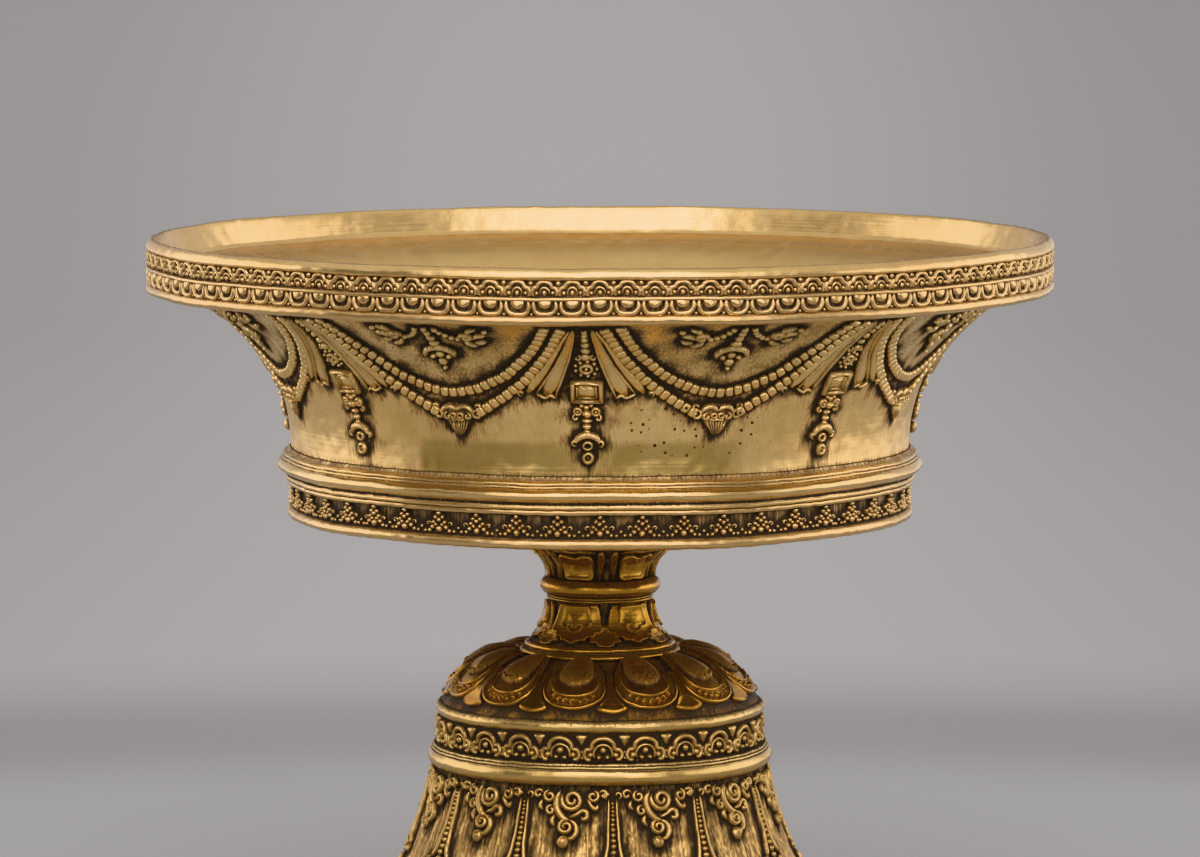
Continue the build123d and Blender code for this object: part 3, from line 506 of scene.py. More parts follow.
def skirt_line(parts=44):
    """The skirt's hollow flare, from its lower edge up to its top."""
    rows = swell((54.5, 94.6, 0), (64.8, 64.0, 0), (99.9, 16.05, 0), parts)
    return [(r, z) for r, z, _ in reversed(rows)]


def curl(x, y, inner, outer, start, turns, parts=9):
    """A spiral from its outer end inwards, angles in degrees."""
    rows = []
    for k in range(parts + 1):
        t = k / parts
        a = radians(start) + turns * 2 * pi * t
        r = outer + (inner - outer) * t
        rows.append((x + r * cos(a), y + r * sin(a)))
    return rows


def tarnished(base, reach, *pieces):
    """A shape for turned castings: patina gathers in patches on its face round the raised work on it."""
    near = kdtree.KDTree(sum(len(piece.data.vertices) for piece in pieces))
    for piece in pieces:
        for corner in piece.data.vertices:
            near.insert(corner.co, 0)
    near.balance()
    touching = 0.7

    def shape(turns, r, z, rec):
        out = rec.copy()
        for row, col in np.argwhere(np.abs(rec - base) < 0.01):
            turn, up = turns[col], z[row, col]
            spot = Vector((r[row, col] * sin(turn), -r[row, col] * cos(turn), up)) / PER_METRE
            gap = max(0.0, near.find(spot)[2] * PER_METRE - touching)
            patchy = 1 + 0.6 * sin(41 * turn + up / 2.9) * sin(67 * turn - up / 1.9)
            out[row, col] = min(1.0, base + (1.0 - base) * 2.0 ** (-gap / (reach * patchy) * 2.0))
        return r, z, out
    return shape


skirt_face = skirt_line()
SKIRT = ground_of(skirt_face)
top = SKIRT.length
ON_SKIRT, ON_BORDER = 57.0, 96.0
PANELS_ROUND, LEAVES_ROUND = 12, 43
SKIRT_STAIN = 0.3

rib = Relief()
for side in (-1, 1):
    rib.ridge(rounded([(side * 1.3, top - 4.4), (side * 1.5, top - 12), (side * 1.8, top - 19),
                       (side * 2.6, top - 24.5), (side * 4.0, top - 28.0)], 5), (0.9, 1.0, 1.2, 1.5), 1.4)
    rib.ridge(curl(side * 4.0, top - 29.4, 0.4, 1.5, 90, side * -1.0, 9), 1.1, 1.5)
    rib.ridge(curl(side * 1.9, top - 3.0, 0.4, 1.3, 270, side * 0.9, 8), 0.9, 1.4)
way, size = top - 5.6, 0.62
while way > top - 31:
    rib.pearl(0, way, size, 0.7 + 0.6 * size, sides=8)
    way -= size * 1.95
    size += 0.045
rib.pearl(0, top - 34.6, 2.0, 1.9, up=3.0)
skirt_ribs = rib.wrap("skirt_ribs", SKIRT, ON_SKIRT)
cast(skirt_ribs, FOOT_BRASS, PANELS_ROUND, first=4.0)
seat(skirt_ribs, "pedestal", "foot_brass")

scroll = Relief()
scroll.ridge(curl(1.4, top - 4.6, 0.6, 3.7, 150, 1.75, 22), (1.9, 1.6, 1.2), 2.0)
scroll.ridge(rounded([(-2.6, top - 1.6), (-3.9, top - 4.6), (-3.3, top - 8.0), (-1.2, top - 10.6),
                      (0.8, top - 11.2)], 4), (1.4, 2.4, 2.4, 1.4), 1.9)
scroll.ridge(rounded([(0.6, top - 10.2), (2.8, top - 9.4), (4.6, top - 8.0), (6.2, top - 8.4),
                      (6.4, top - 10.2), (5.2, top - 10.8), (4.7, top - 9.8)], 3), (1.2, 1.7, 1.4), 1.7)
scroll.ridge(curl(-0.3, top - 13.4, 0.5, 2.5, 80, 1.5, 16), (1.6, 1.4, 1.0), 1.9)
scroll.ridge(rounded([(0.6, top - 11.0), (2.6, top - 12.4), (3.2, top - 14.8), (2.0, top - 17.0),
                      (0.4, top - 17.6)], 4), (1.2, 2.0, 1.3), 1.7)
scroll.pearl(-0.9, top - 18.3, 2.1, 1.9, up=2.3)
scroll.ridge(curl(-0.7, top - 18.0, 0.4, 1.3, 60, 1.1, 9), 0.9, 2.5)
scroll.ridge(curl(-6.3, top - 3.4, 0.5, 2.0, 100, 1.25, 12), 1.3, 1.7)
scroll.ridge(curl(-5.6, top - 8.0, 0.4, 1.7, 70, 1.15, 11), 1.3, 1.6)
scroll.ridge(rounded([(-4.2, top - 9.4), (-5.0, top - 11.4), (-4.0, top - 13.4)], 4), (1.2, 1.8, 1.0), 1.5)
scroll.ridge(curl(8.3, top - 3.4, 0.5, 2.0, 80, -1.25, 12), 1.3, 1.7)
scroll.ridge(rounded([(6.4, top - 4.2), (7.8, top - 6.6), (9.4, top - 7.4), (9.9, top - 5.9)], 4),
             (1.0, 1.7, 1.1), 1.5)
scroll.ridge(curl(11.8, top - 2.8, 0.4, 1.6, 170, -1.1, 10), 1.2, 1.6)
scroll.ridge(curl(-10.3, top - 2.8, 0.4, 1.7, 10, 1.1, 10), 1.2, 1.6)
scroll.ridge(rounded([(-8.6, top - 4.6), (-9.4, top - 6.6), (-8.2, top - 8.0)], 4), (1.0, 1.6, 0.9), 1.5)
skirt_scrolls = scroll.wrap("skirt_scrolls", SKIRT, ON_SKIRT)
cast(skirt_scrolls, FOOT_BRASS, PANELS_ROUND, first=-10.8)
seat(skirt_scrolls, "pedestal", "foot_brass")

border = Relief()
lotus = rounded([(-5.6, 0.6), (0, 0.4), (5.6, 0.6), (6.6, 6.0), (6.2, 11.5), (4.4, 15.6), (1.8, 18.6),
                 (0, 20.4), (-1.8, 18.6), (-4.4, 15.6), (-6.2, 11.5), (-6.6, 6.0)], 3, True)
border.leaf(lotus, ((0.0, 1.0), (0.04, 1.5), (0.14, 1.5), (0.22, 0.8), (0.6, 1.3), (0.95, 1.6)), 1.5)
border.ridge(curl(-1.5, 9.0, 0.4, 1.5, 20, 1.1, 10), 0.8, 2.0)
border.ridge(curl(1.5, 9.0, 0.4, 1.5, 160, -1.1, 10), 0.8, 2.0)
border.pearl(0, 12.6, 1.2, 2.3)
border.ridge([(6.9, 6.0), (6.95, 11.0), (6.95, 15.4)], (1.4, 2.2, 0.8), 1.0)
skirt_border = border.wrap("skirt_border", SKIRT, ON_BORDER)
cast(skirt_border, FOOT_BRASS, LEAVES_ROUND)
seat(skirt_border, "pedestal", "foot_brass")

gather_on_skirt = tarnished(SKIRT_STAIN, 2.2, skirt_ribs, skirt_scrolls, skirt_border)


def fluted(turns, r, z, rec):
    """Irregular scraped flutes on the outer face, darker in their furrows and round the raised work."""
    outer = np.abs(rec - SKIRT_STAIN) < 0.01
    rec = gather_on_skirt(turns, r, z, rec)[2]
    deep, cut, shade = 0.24, 0.2, 0.17
    rng = np.random.default_rng(7)
    flutes = sum(np.sin(waves * turns + rng.uniform(0, 6.3)) * rng.uniform(0.5, 1.0)
                 for waves in (84, 132, 180, 252, 324)) / 2.9
    r = np.where(outer, r + deep * flutes - cut, r)
    rec = np.where(outer, np.clip(rec - shade * flutes, 0, 1), rec)
    return r, z, rec


skirt_inner = [(r - 4.6, z, 0.7) for r, z in skirt_line(14)]
foot_skirt = turned("foot_skirt_casting", [
    *[(r, z, SKIRT_STAIN) for r, z in skirt_face], (50.4, 94.6, 0.8), (50.4, 104.4, 0.8),
    (48.4, 104.4, 0.7), (48.4, 94.6, 0.7), *skirt_inner[::-1][1:], (skirt_inner[0][0], 13.6, 0.7),
    (95.8, 13.6, 0.7), (95.8, 16.05, 0.7)], columns=1152, shape=fluted)
cast(foot_skirt, FOOT_BRASS)
seat(foot_skirt, "pedestal", "foot_brass", "foot_skirt")


# Foot ring: a plain half-round ring between skirt and arch band. Turned brass with two scribed
# lines on its shoulder, sleeved over the skirt's spigot and soldered.

RING_BRASS = brass("ring brass", gold=(0.67, 0.455, 0.18), amber=(0.56, 0.34, 0.10), polish=0.26)
foot_ring = turned("foot_ring_casting", [
    (50.6, 94.65, 0.8), (54.8, 94.65, 0.9),
    *swell((55.3, 94.9, 0.5), (57.05, 97.6, 0.0), (56.2, 99.6, 0.0), 9), (55.75, 99.95, 0.9),
    (55.7, 100.1, 0.9), (55.85, 100.4, 0.1), (55.75, 100.75, 0.2), (55.4, 100.9, 0.9), (55.35, 101.1, 0.8),
    (55.4, 101.5, 0.2), (54.9, 101.9, 0.8), (50.6, 101.95, 0.8)], columns=192)
cast(foot_ring, RING_BRASS)
seat(foot_ring, "pedestal", "foot_brass", "foot_ring")


# Foot band: the upright band under the dome. Brass, its ground sunk and left dark, with a row of
# trefoil arches chased in relief and small pearls in threes between them.

def both_sides(points):
    """A left half drawn from its end to the middle, carried on to the mirrored right half."""
    left = [(-abs(x), y) for x, y in points]
    return left + [(-x, y) for x, y in reversed(left) if abs(x) > 1e-6]


ARCHES_ROUND = 24
arch = Relief()
arch.ridge(rounded(both_sides([(4.0, 1.0), (5.3, 0.9), (6.2, 2.3), (5.5, 4.1), (3.9, 4.4), (3.5, 6.1),
                               (2.0, 7.4), (0, 7.9)]), 4), 1.5, 1.55)
arch.ridge(rounded(both_sides([(2.9, 1.2), (3.1, 3.2), (2.1, 5.0), (0, 5.8)]), 3), 0.9, 1.2)
for x, y, r in ((-4.2, 2.4, 1.15), (4.2, 2.4, 1.15), (0, 3.9, 1.25), (-1.4, 1.6, 0.9), (1.4, 1.6, 0.9)):
    arch.pearl(x, y, r, 1.6)
arch.leaf(rounded([(7.1, 5.2), (8.3, 7.2), (9.0, 8.6), (7.1, 8.9), (5.2, 8.6), (5.9, 7.2)], 2, True),
          ((0.0, 0.6), (0.2, 1.1), (0.8, 1.3)), 1.1)
arch.pearl(7.1, 3.4, 0.6, 1.0, sides=7)
arch.pearl(7.1, 1.4, 0.7, 1.0, sides=7)
foot_arches = arch.wrap("foot_band_arches", ground_of([(53.2, 102.2), (53.0, 106.5), (53.1, 111.2)]), 53.6)
cast(foot_arches, FOOT_BRASS, ARCHES_ROUND, first=1.0)
seat(foot_arches, "pedestal", "foot_brass")


def upright(radius, low, high, parts, recess):
    """Points of an upright stretch of an outline."""
    return [(radius, z, recess) for z in np.linspace(low, high, parts)]


foot_band = turned("foot_band_casting", [
    (50.6, 102.0, 0.8), (53.4, 102.0, 1.0), *upright(53.0, 102.6, 110.8, 9, 0.45), (53.4, 111.5, 1.0),
    (50.6, 111.5, 0.8)], columns=384, shape=tarnished(0.45, 1.6, foot_arches))
cast(foot_band, FOOT_BRASS)
seat(foot_band, "pedestal", "foot_brass", "foot_band")


# Lotus dome: the cushion of open petals that the stem stands on. Cast brass with a turned edge bead,
# each petal cupped inside a double rim with small scrolls at its tip.

DOME_BRASS = brass("dome brass", patina=0.9, gold=(0.50, 0.265, 0.055), amber=(0.28, 0.115, 0.012),
                   amber_share=0.7, polish=0.27, bump=0.24, coat=0.08)
dome_line = swell((27.0, 131.4, 0.6), (43.4, 125.9, 0.6), (52.3, 115.9, 0.6), 26)
DOME = ground_of([(r, z) for r, z, _ in dome_line][::-1])
ON_DOME, PETALS_ROUND = 46.0, 12
EDGE_BEAD = (0.111, 0.1158)
reach = DOME.length
petal = Relief()
outer = rounded(both_sides([(3.4, reach - 0.6), (7.0, reach - 6), (9.6, reach - 12), (10.6, reach - 18),
                            (9.8, reach - 22.5), (7.6, reach - 25.6), (4.2, reach - 27.4),
                            (0, reach - 28.0)]), 3)
petal.leaf(outer, ((0.0, 1.0), (0.02, 1.5), (0.08, 1.6), (0.13, 1.1), (0.3, 1.2), (0.7, 1.4), (0.95, 1.6)),
           1.7)
collar = rounded(both_sides([(4.0, reach - 2.0), (6.6, reach - 8), (8.0, reach - 14), (7.6, reach - 18.6),
                             (5.4, reach - 21.8), (0, reach - 23.2)]), 3)
petal.ridge(collar, 1.1, 2.1)
cup = rounded(both_sides([(3.0, reach - 1.2), (5.2, reach - 5.5), (6.4, reach - 10.5), (6.4, reach - 14.5),
                          (4.8, reach - 18.0), (0, reach - 19.8)]), 3)
petal.leaf(cup, ((0.0, 1.4), (0.05, 2.2), (0.15, 2.6), (0.4, 3.1), (0.7, 3.4), (0.95, 3.5)), 5.0)
for x, y, size in ((0, 18.2, 0.9), (1.7, 17.8, 0.75), (-1.7, 17.8, 0.75), (3.2, 16.8, 0.6),
                   (-3.2, 16.8, 0.6)):
    petal.ridge(curl(x, reach - y, 0.3, size, 180 if x > 0 else 0, -0.8 if x > 0 else 0.8, 6), 0.5, 3.2)
for x, y, size in ((0, 25.4, 1.15), (2.2, 25.2, 1.0), (-2.2, 25.2, 1.0), (4.2, 24.4, 0.9),
                   (-4.2, 24.4, 0.9), (6.0, 23.0, 0.8), (-6.0, 23.0, 0.8)):
    petal.ridge(curl(x, reach - y, 0.3, size, 180 if x > 0 else 0, -0.9 if x > 0 else 0.9, 7), 0.6, 2.1)
lotus_petals = petal.wrap("lotus_petals", DOME, ON_DOME)
cast(lotus_petals, DOME_BRASS, PETALS_ROUND, first=19.6)
seat(lotus_petals, "pedestal", "foot_brass")

tip = Relief()
tip.leaf(rounded([(-1.0, reach - 13), (-1.2, reach - 19), (-2.4, reach - 24), (-4.6, reach - 27.6),
                  (-2.4, reach - 28.8), (0, reach - 29.2), (2.4, reach - 28.8), (4.6, reach - 27.6),
                  (2.4, reach - 24), (1.2, reach - 19), (1.0, reach - 13)], 2, True),
         ((0.0, 0.8), (0.05, 1.3), (0.2, 1.1), (0.9, 1.3)), 1.2)
tip.ridge(rounded([(-4.2, reach - 27.6), (-2.2, reach - 28.5), (0, reach - 28.9), (2.2, reach - 28.5),
                   (4.2, reach - 27.6)], 3), 0.9, 1.7)
lotus_tips = tip.wrap("lotus_tips", DOME, ON_DOME)
cast(lotus_tips, DOME_BRASS, PETALS_ROUND, first=34.6)
seat(lotus_tips, "pedestal", "foot_brass")

foot_dome = turned("foot_dome_casting", [
    (9.3, 131.4, 0.8), (18, 131.4, 0.8), *dome_line,
    *swell((52.6, 115.6, 0.9), (54.35, 113.5, 0.0), (53.2, 111.7, 0.4), 8), (50.3, 111.65, 0.8),
    (50.3, 109.2, 0.7), (48.4, 109.2, 0.7), (48.4, 111.6, 0.7),
    *swell((48.2, 113.0, 0.7), (41.0, 122.6, 0.7), (25.5, 127.5, 0.7)), (9.3, 127.5, 0.7)][::-1],
    columns=288, shape=tarnished(0.6, 1.6, lotus_petals, lotus_tips))
cast(foot_dome, DOME_BRASS)
foot_dome.data.materials.append(RING_BRASS)
for face in foot_dome.data.polygons:
    face.material_index = int(EDGE_BEAD[0] < face.center.z < EDGE_BEAD[1])
seat(foot_dome, "pedestal", "foot_brass", "foot_dome")


# Stem neck: the flared casting that stands on the dome. Brass with a turned flange and bead, lotus
# petals hanging down its flare, and two scribed collar lines; clamped by the core tube inside it.

STEM_BRASS = brass("stem brass", patina=0.95, gold=(0.54, 0.30, 0.06), amber=(0.35, 0.155, 0.015),
                   amber_share=0.7, polish=0.26, bump=0.24, coat=0.06)
neck_line = swell((16.6, 149.3, 0.5), (18.0, 142.0, 0.5), (22.6, 135.6, 0.5), 16)[::-1]
NECK = ground_of([(r, z) for r, z, _ in neck_line])
high = NECK.length
ON_NECK, STEM_PETALS, STEM_RIPPLE = 19.2, 6, 0.0004

hang = Relief()
outer_petal = rounded(both_sides([(7.6, high - 0.2), (8.6, high - 4), (9.3, high - 8), (9.0, high - 9.8),
                                  (7.0, high - 10.0), (6.8, high - 11.4), (4.6, high - 11.8),
                                  (3.9, high - 13.2), (2.0, high - 13.4), (0, high - 14.6)]), 3)
hang.leaf(outer_petal, ((0.0, 0.9), (0.02, 1.25), (0.07, 1.25), (0.11, 1.0), (0.5, 1.1), (0.95, 1.2)), 1.2)
inner_petal = rounded(both_sides([(4.6, high - 0.4), (5.2, high - 4.5), (5.6, high - 7.2),
                                  (4.4, high - 8.2), (2.8, high - 7.7), (2.2, high - 9.4),
                                  (0, high - 10.6)]), 3)
hang.leaf(inner_petal, ((0.0, 1.1), (0.03, 1.9), (0.1, 1.9), (0.16, 1.65), (0.5, 1.85), (0.95, 2.0)), 1.9)
neck_petals = hang.wrap("neck_petals", NECK, ON_NECK)
cast(neck_petals, STEM_BRASS, STEM_PETALS, first=35.0, ripple=STEM_RIPPLE)
seat(neck_petals, "pedestal", "foot_brass")

under = Relief()
under.leaf(rounded(both_sides([(3.2, high - 7.0), (4.4, high - 11.6), (4.6, high - 13.4),
                               (2.6, high - 13.8), (2.2, high - 15.0), (0, high - 15.6)]), 3),
           ((0.0, 0.4), (0.04, 0.75), (0.15, 0.75), (0.25, 0.5), (0.9, 0.6)), 0.7)
neck_tips = under.wrap("neck_tips", NECK, ON_NECK)
cast(neck_tips, STEM_BRASS, STEM_PETALS, first=5.0, ripple=STEM_RIPPLE)
seat(neck_tips, "pedestal", "foot_brass")

stem_neck = turned("stem_neck_casting", [
    (9.2, 131.55, 0.8), (26.2, 131.55, 0.8), (26.5, 131.8, 0.2), (26.6, 132.4, 0.0), (26.4, 133.0, 0.0),
    (25.8, 133.35, 0.3), (24.7, 133.45, 0.9),
    *swell((24.2, 133.6, 0.5), (24.9, 134.5, 0.0), (23.6, 135.6, 0.3), 6), (22.9, 135.7, 0.9), *neck_line,
    (16.7, 149.5, 1.0), (17.5, 149.7, 0.1), (17.7, 150.1, 0.0), (17.3, 150.35, 0.9), (17.3, 150.5, 0.9),
    (17.7, 150.7, 0.1), (17.6, 151.1, 0.2), (16.6, 151.35, 0.8), (9.2, 151.35, 0.8)], columns=288,
    shape=tarnished(0.5, 0.8, neck_petals, neck_tips))
cast(stem_neck, STEM_BRASS, ripple=STEM_RIPPLE)
seat(stem_neck, "pedestal", "foot_brass", "stem_neck")


# Stem ring: a plain round bead between neck and calyx. Turned brass, threaded on the core tube like
# a bead on a string and held by the same nut.

stem_ring = turned("stem_ring_casting", [
    (9.2, 151.45, 0.8), (17.0, 151.45, 0.9),
    *swell((17.4, 151.5, 0.7), (19.8, 153.6, 0.0), (17.4, 156.9, 0.45), 14), (17.0, 156.95, 0.9),
    (9.2, 156.95, 0.8)], columns=144)
cast(stem_ring, STEM_BRASS)
seat(stem_ring, "pedestal", "foot_brass", "stem_ring")


# Calyx: the flared cup of petals right under the basin. Cast brass, chased with lobed petals and
# narrow strips between them; its flat top takes the leather seal.

calyx_line = swell((16.8, 157.2, 0.6), (18.6, 163.4, 0.6), (25.0, 168.1, 0.6), 14)
CALYX = ground_of([(r, z) for r, z, _ in calyx_line])
ON_CALYX = 18.6
lobe = Relief()
lobe.leaf(rounded([(-4.9, 0.3), (0, 0.2), (4.9, 0.3), (5.3, 4.0), (5.5, 8.0), (4.9, 10.6), (3.0, 11.4),
                   (1.2, 10.2), (0, 9.8), (-1.2, 10.2), (-3.0, 11.4), (-4.9, 10.6), (-5.5, 8.0),
                   (-5.3, 4.0)], 3, True),
          ((0.0, 1.0), (0.03, 1.6), (0.12, 1.6), (0.18, 1.1), (0.5, 1.25), (0.95, 1.4)), 1.5)
for x in (-7.6, 7.6):
    lobe.ridge([(x * 0.97, 0.3), (x, 5.0), (x * 1.03, 10.0), (x * 1.03, 13.4)], (2.6, 2.8, 3.0), 1.2,
               flat=True)
lobe.ridge(rounded([(-6.4, 12.4), (-3.0, 13.6), (0, 12.4), (3.0, 13.6), (6.4, 12.4)], 3), 1.2, 0.9)
calyx_petals = lobe.wrap("calyx_petals", CALYX, ON_CALYX)
cast(calyx_petals, STEM_BRASS, STEM_PETALS, first=36.5, ripple=STEM_RIPPLE)
seat(calyx_petals, "pedestal", "foot_brass")

stem_calyx = turned("stem_calyx_casting", [
    (9.2, 157.05, 0.8), (16.4, 157.05, 0.9), *calyx_line, (25.7, 168.4, 0.2), (25.8, 168.8, 0.1),
    (25.5, 168.95, 0.3), (14.2, 168.95, 0.6), (14.2, 166.0, 0.7), (9.2, 166.0, 0.7)], columns=288,
    shape=tarnished(0.6, 0.8, calyx_petals))
cast(stem_calyx, STEM_BRASS, ripple=STEM_RIPPLE)
seat(stem_calyx, "pedestal", "foot_brass", "stem_calyx")


# Core tube, washer and nut: the iron tie that clamps calyx, ring, neck and dome together from inside
# the foot. Forged, with a cut thread on its tail; the square nut is filed to a chamfer.

def grain_of(tree, place, scale, detail):
    """Cloudy grain of one size all over a piece."""
    return node(tree, "ShaderNodeTexNoise",
                {"Vector": place, "Scale": scale, "Detail": detail}).outputs["Fac"]


def iron_finish():
    """Dark forged iron with scale on it and a little rust."""
    finish, tree, shader, place = new_finish("forged iron")
    scale = grain_of(tree, place, 240.0, 4.0)
    rust = ranged(tree, grain_of(tree, place, 70.0, 5.0), 0.52, 0.66, way="LINEAR")
    fill(tree, shader, {
        "Base Color": mixed(tree, rust, (0.10, 0.095, 0.09, 1), (0.16, 0.065, 0.025, 1)), "Metallic": 0.85,
        "Roughness": ranged(tree, scale, 0, 1, 0.38, 0.70, "LINEAR"),
        "Normal": bumped(tree, scale, 0.35, 0.0006)})
    return finish


IRON = iron_finish()


def threaded(low, high, pitch=2.0, depth=0.45):
    """Cuts a screw thread between two heights into the outer face of a turned piece."""
    def cut(turns, r, z, rec):
        wave = np.abs(((z / pitch - turns / (2 * pi)) % 1.0) * 2 - 1)
        inside = (z > low) & (z < high) & (rec < 0.5)
        return np.where(inside, r - depth * wave, r), z, rec
    return cut


stem_core = turned("stem_core_forging", [
    (5.7, 114.6, 0.6), (8.4, 114.6, 0.2), (8.95, 115.2, 0.2),
    *[(8.95, z, 0.2) for z in np.arange(115.6, 130, 0.35)], (8.95, 131, 0.6), (8.95, 166.05, 0.6),
    (13.9, 166.05, 0.6), (13.9, 168.9, 0.6), (5.7, 168.9, 0.6)], columns=72, shape=threaded(115, 130))
cast(stem_core, IRON, wander=0.0001, ripple=0.0001)
seat(stem_core, "pedestal", "iron", "stem_core")

washer_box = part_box("core_washer")
low, top_face = (corner[2] * PER_METRE for corner in washer_box)
core_washer = turned("core_washer_forging", eased([
    (9.2, low, 0.4), (17.8, low, 0.2), (17.8, top_face, 0.2), (9.2, top_face, 0.4)], 0.35), columns=72)
cast(core_washer, IRON, wander=0.0003, ripple=0.0002)
seat(core_washer, "pedestal", "iron", "core_washer")


def squared(turns, r, z, rec):
    """A square nut: flats at half its width, corners turned down to a chamfer at both faces."""
    half_flat, corner, chamfer, steep, bore, blank = 12.95, 17.2, 14.4, 1.7, 10, 18
    flat = half_flat / np.maximum(np.abs(np.sin(turns)), np.abs(np.cos(turns)))
    edge = np.minimum(z - z.min(), z.max() - z)
    side = np.minimum(np.minimum(flat, corner), chamfer + edge * steep)
    return np.where(r > bore, side - (blank - r), r), z, rec


nut_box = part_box("core_nut")
CLEAR = 0.02
low, top_face = nut_box[0][2] * PER_METRE + CLEAR, nut_box[1][2] * PER_METRE - CLEAR
core_nut = turned("core_nut_forging", [
    (9.1, low, 0.5), (14, low, 0.2), (17.6, low, 0.2), (18, low + 0.4, 0.2),
    *upright(18, low + 0.9, top_face - 0.9, 8, 0.2), (18, top_face - 0.4, 0.2), (17.6, top_face, 0.2),
    (14, top_face, 0.2), (9.1, top_face, 0.5)], columns=96, shape=squared)
cast(core_nut, IRON, wander=0.0003, ripple=0.0002)
seat(core_nut, "pedestal", "iron", "core_nut")


# Seat seal: a leather washer between calyx and basin, so that butter doesn't creep down the stud.
# Cut from harness leather, greased dark, pressed by the screwed-down bowl.

def leather_finish():
    """Greased leather: dark brown, creased and a little glossy."""
    finish, tree, shader, place = new_finish("greased leather")
    pores = node(tree, "ShaderNodeTexVoronoi", {"Vector": place, "Scale": 900.0}).outputs["Distance"]
    wear_and_painted_tint = grain_of(tree, place, 160.0, 4.0)
    fill(tree, shader, {
        "Base Color": mixed(tree, wear_and_painted_tint, (0.035, 0.018, 0.010, 1), (0.11, 0.055, 0.025, 1)),
        "Roughness": ranged(tree, wear_and_painted_tint, 0, 1, 0.35, 0.65, "LINEAR"),
        "Normal": bumped(tree, pores, 0.3, 0.0004)})
    return finish


LEATHER = leather_finish()
seat_seal = turned("seat_seal_leather", eased([
    (7.6, 169.02, 0.5), (22.8, 169.02, 0.3), (22.95, 169.5, 0.2), (22.8, 169.98, 0.3), (7.6, 169.98, 0.5)],
    0.2), columns=96)
cast(seat_seal, LEATHER, wander=0.0002, ripple=0.0)
seat(seat_seal, "seal", "seal_leather", "seat_seal")


# Basin: the flared bowl that holds the butter. Cast thick, its inside scraped smooth; the wall is
# chased with eight beaded swags, face bosses where they meet, and jewelled pendants between them.

# Painted reflection: a darker tint on the lower front of the wall stands in for the dark room mirrored
# there.
DARK_REFLECTION_PATCH = ((0.70, 0.71, 0.62), (("X", -0.058, -0.055), ("X", 0.046, 0.038), ("Y", 0.0, -0.02),
                                   ("Z", 0.2128, 0.2100)))
# Painted reflection: the top of the flare under the rim is tinted cooler to damp the orange light it
# reflects from the rim.
FLARE_REFLECTION_TINT = ((0.90, 0.95, 1.0), (("Z", 0.224, 0.240),))
BOWL_BRASS = brass("bowl brass", gold=(0.93, 0.64, 0.28), amber=(0.56, 0.34, 0.11), amber_share=0.45,
                   polish=0.33, bump=0.15, pitted=(0.031, -0.100, 0.216),
                   painted_tints=(DARK_REFLECTION_PATCH, FLARE_REFLECTION_TINT))
INSIDE_BRASS = brass("satin brass inside the bowl", gold=(0.81, 0.545, 0.235), amber=(0.68, 0.425, 0.15),
                     polish=0.32, bump=0.10)
WALL_FOOT, FLARE, INNER_FLARE, FLARE_TURN = (102.15, 201.0), 56.05, 61.0, 1.145
WALL_STAIN = 0.06
wall_line = [(WALL_FOOT[0] + FLARE * (1 - cos(a)), WALL_FOOT[1] + FLARE * sin(a))
             for a in np.linspace(0, FLARE_TURN, 56)]
WALL = ground_of(wall_line)
ON_WALL = 109.0
SWAGS_ROUND, FIRST_SWAG = 8, -2.3
SWAG_DEGREES = 360 / SWAGS_ROUND


def strand_tree():
    """Threads a bead along guide lines, each bead lying flat on the ground under the line."""
    tree = bpy.data.node_groups.new("beaded strand", "GeometryNodeTree")
    for label, kind in (("Guides", "Geometry"), ("Bead", "Object"), ("Pitch", "Float"),
                        ("Finish", "Material")):
        tree.interface.new_socket(label, in_out="INPUT", socket_type="NodeSocket" + kind)
    tree.interface.new_socket("Strands", in_out="OUTPUT", socket_type="NodeSocketGeometry")
    given = tree.nodes.new("NodeGroupInput").outputs
    line = node(tree, "GeometryNodeMeshToCurve", {"Mesh": given["Guides"]})
    spaced = node(tree, "GeometryNodeResampleCurve", {"Curve": line.outputs[0], "Length": given["Pitch"]},
                  mode="LENGTH")
    outward = node(tree, "GeometryNodeInputNamedAttribute", {"Name": "outward"}, data_type="FLOAT_VECTOR")
    along = node(tree, "GeometryNodeInputTangent")
    facing = node(tree, "FunctionNodeAxesToRotation", {
        "Primary Axis": outward.outputs[0], "Secondary Axis": along.outputs[0]}, primary_axis="Z",
        secondary_axis="X")
    bead = node(tree, "GeometryNodeObjectInfo", {"Object": given["Bead"]})
    beads = node(tree, "GeometryNodeInstanceOnPoints", {
        "Points": spaced.outputs[0], "Instance": bead.outputs["Geometry"], "Rotation": facing.outputs[0]})
    solid = node(tree, "GeometryNodeRealizeInstances", {"Geometry": beads.outputs[0]})
    done = node(tree, "GeometryNodeSetMaterial",
                {"Geometry": solid.outputs[0], "Material": given["Finish"]})
    node(tree, "NodeGroupOutput", {"Strands": done.outputs[0]})
    return tree


def flat_piece(relief, name):
    """The drawn work as it lies, as a mesh object in metres."""
    return plain_mesh(name, (np.array(relief.points) / PER_METRE).tolist(), relief.faces, relief.recess)


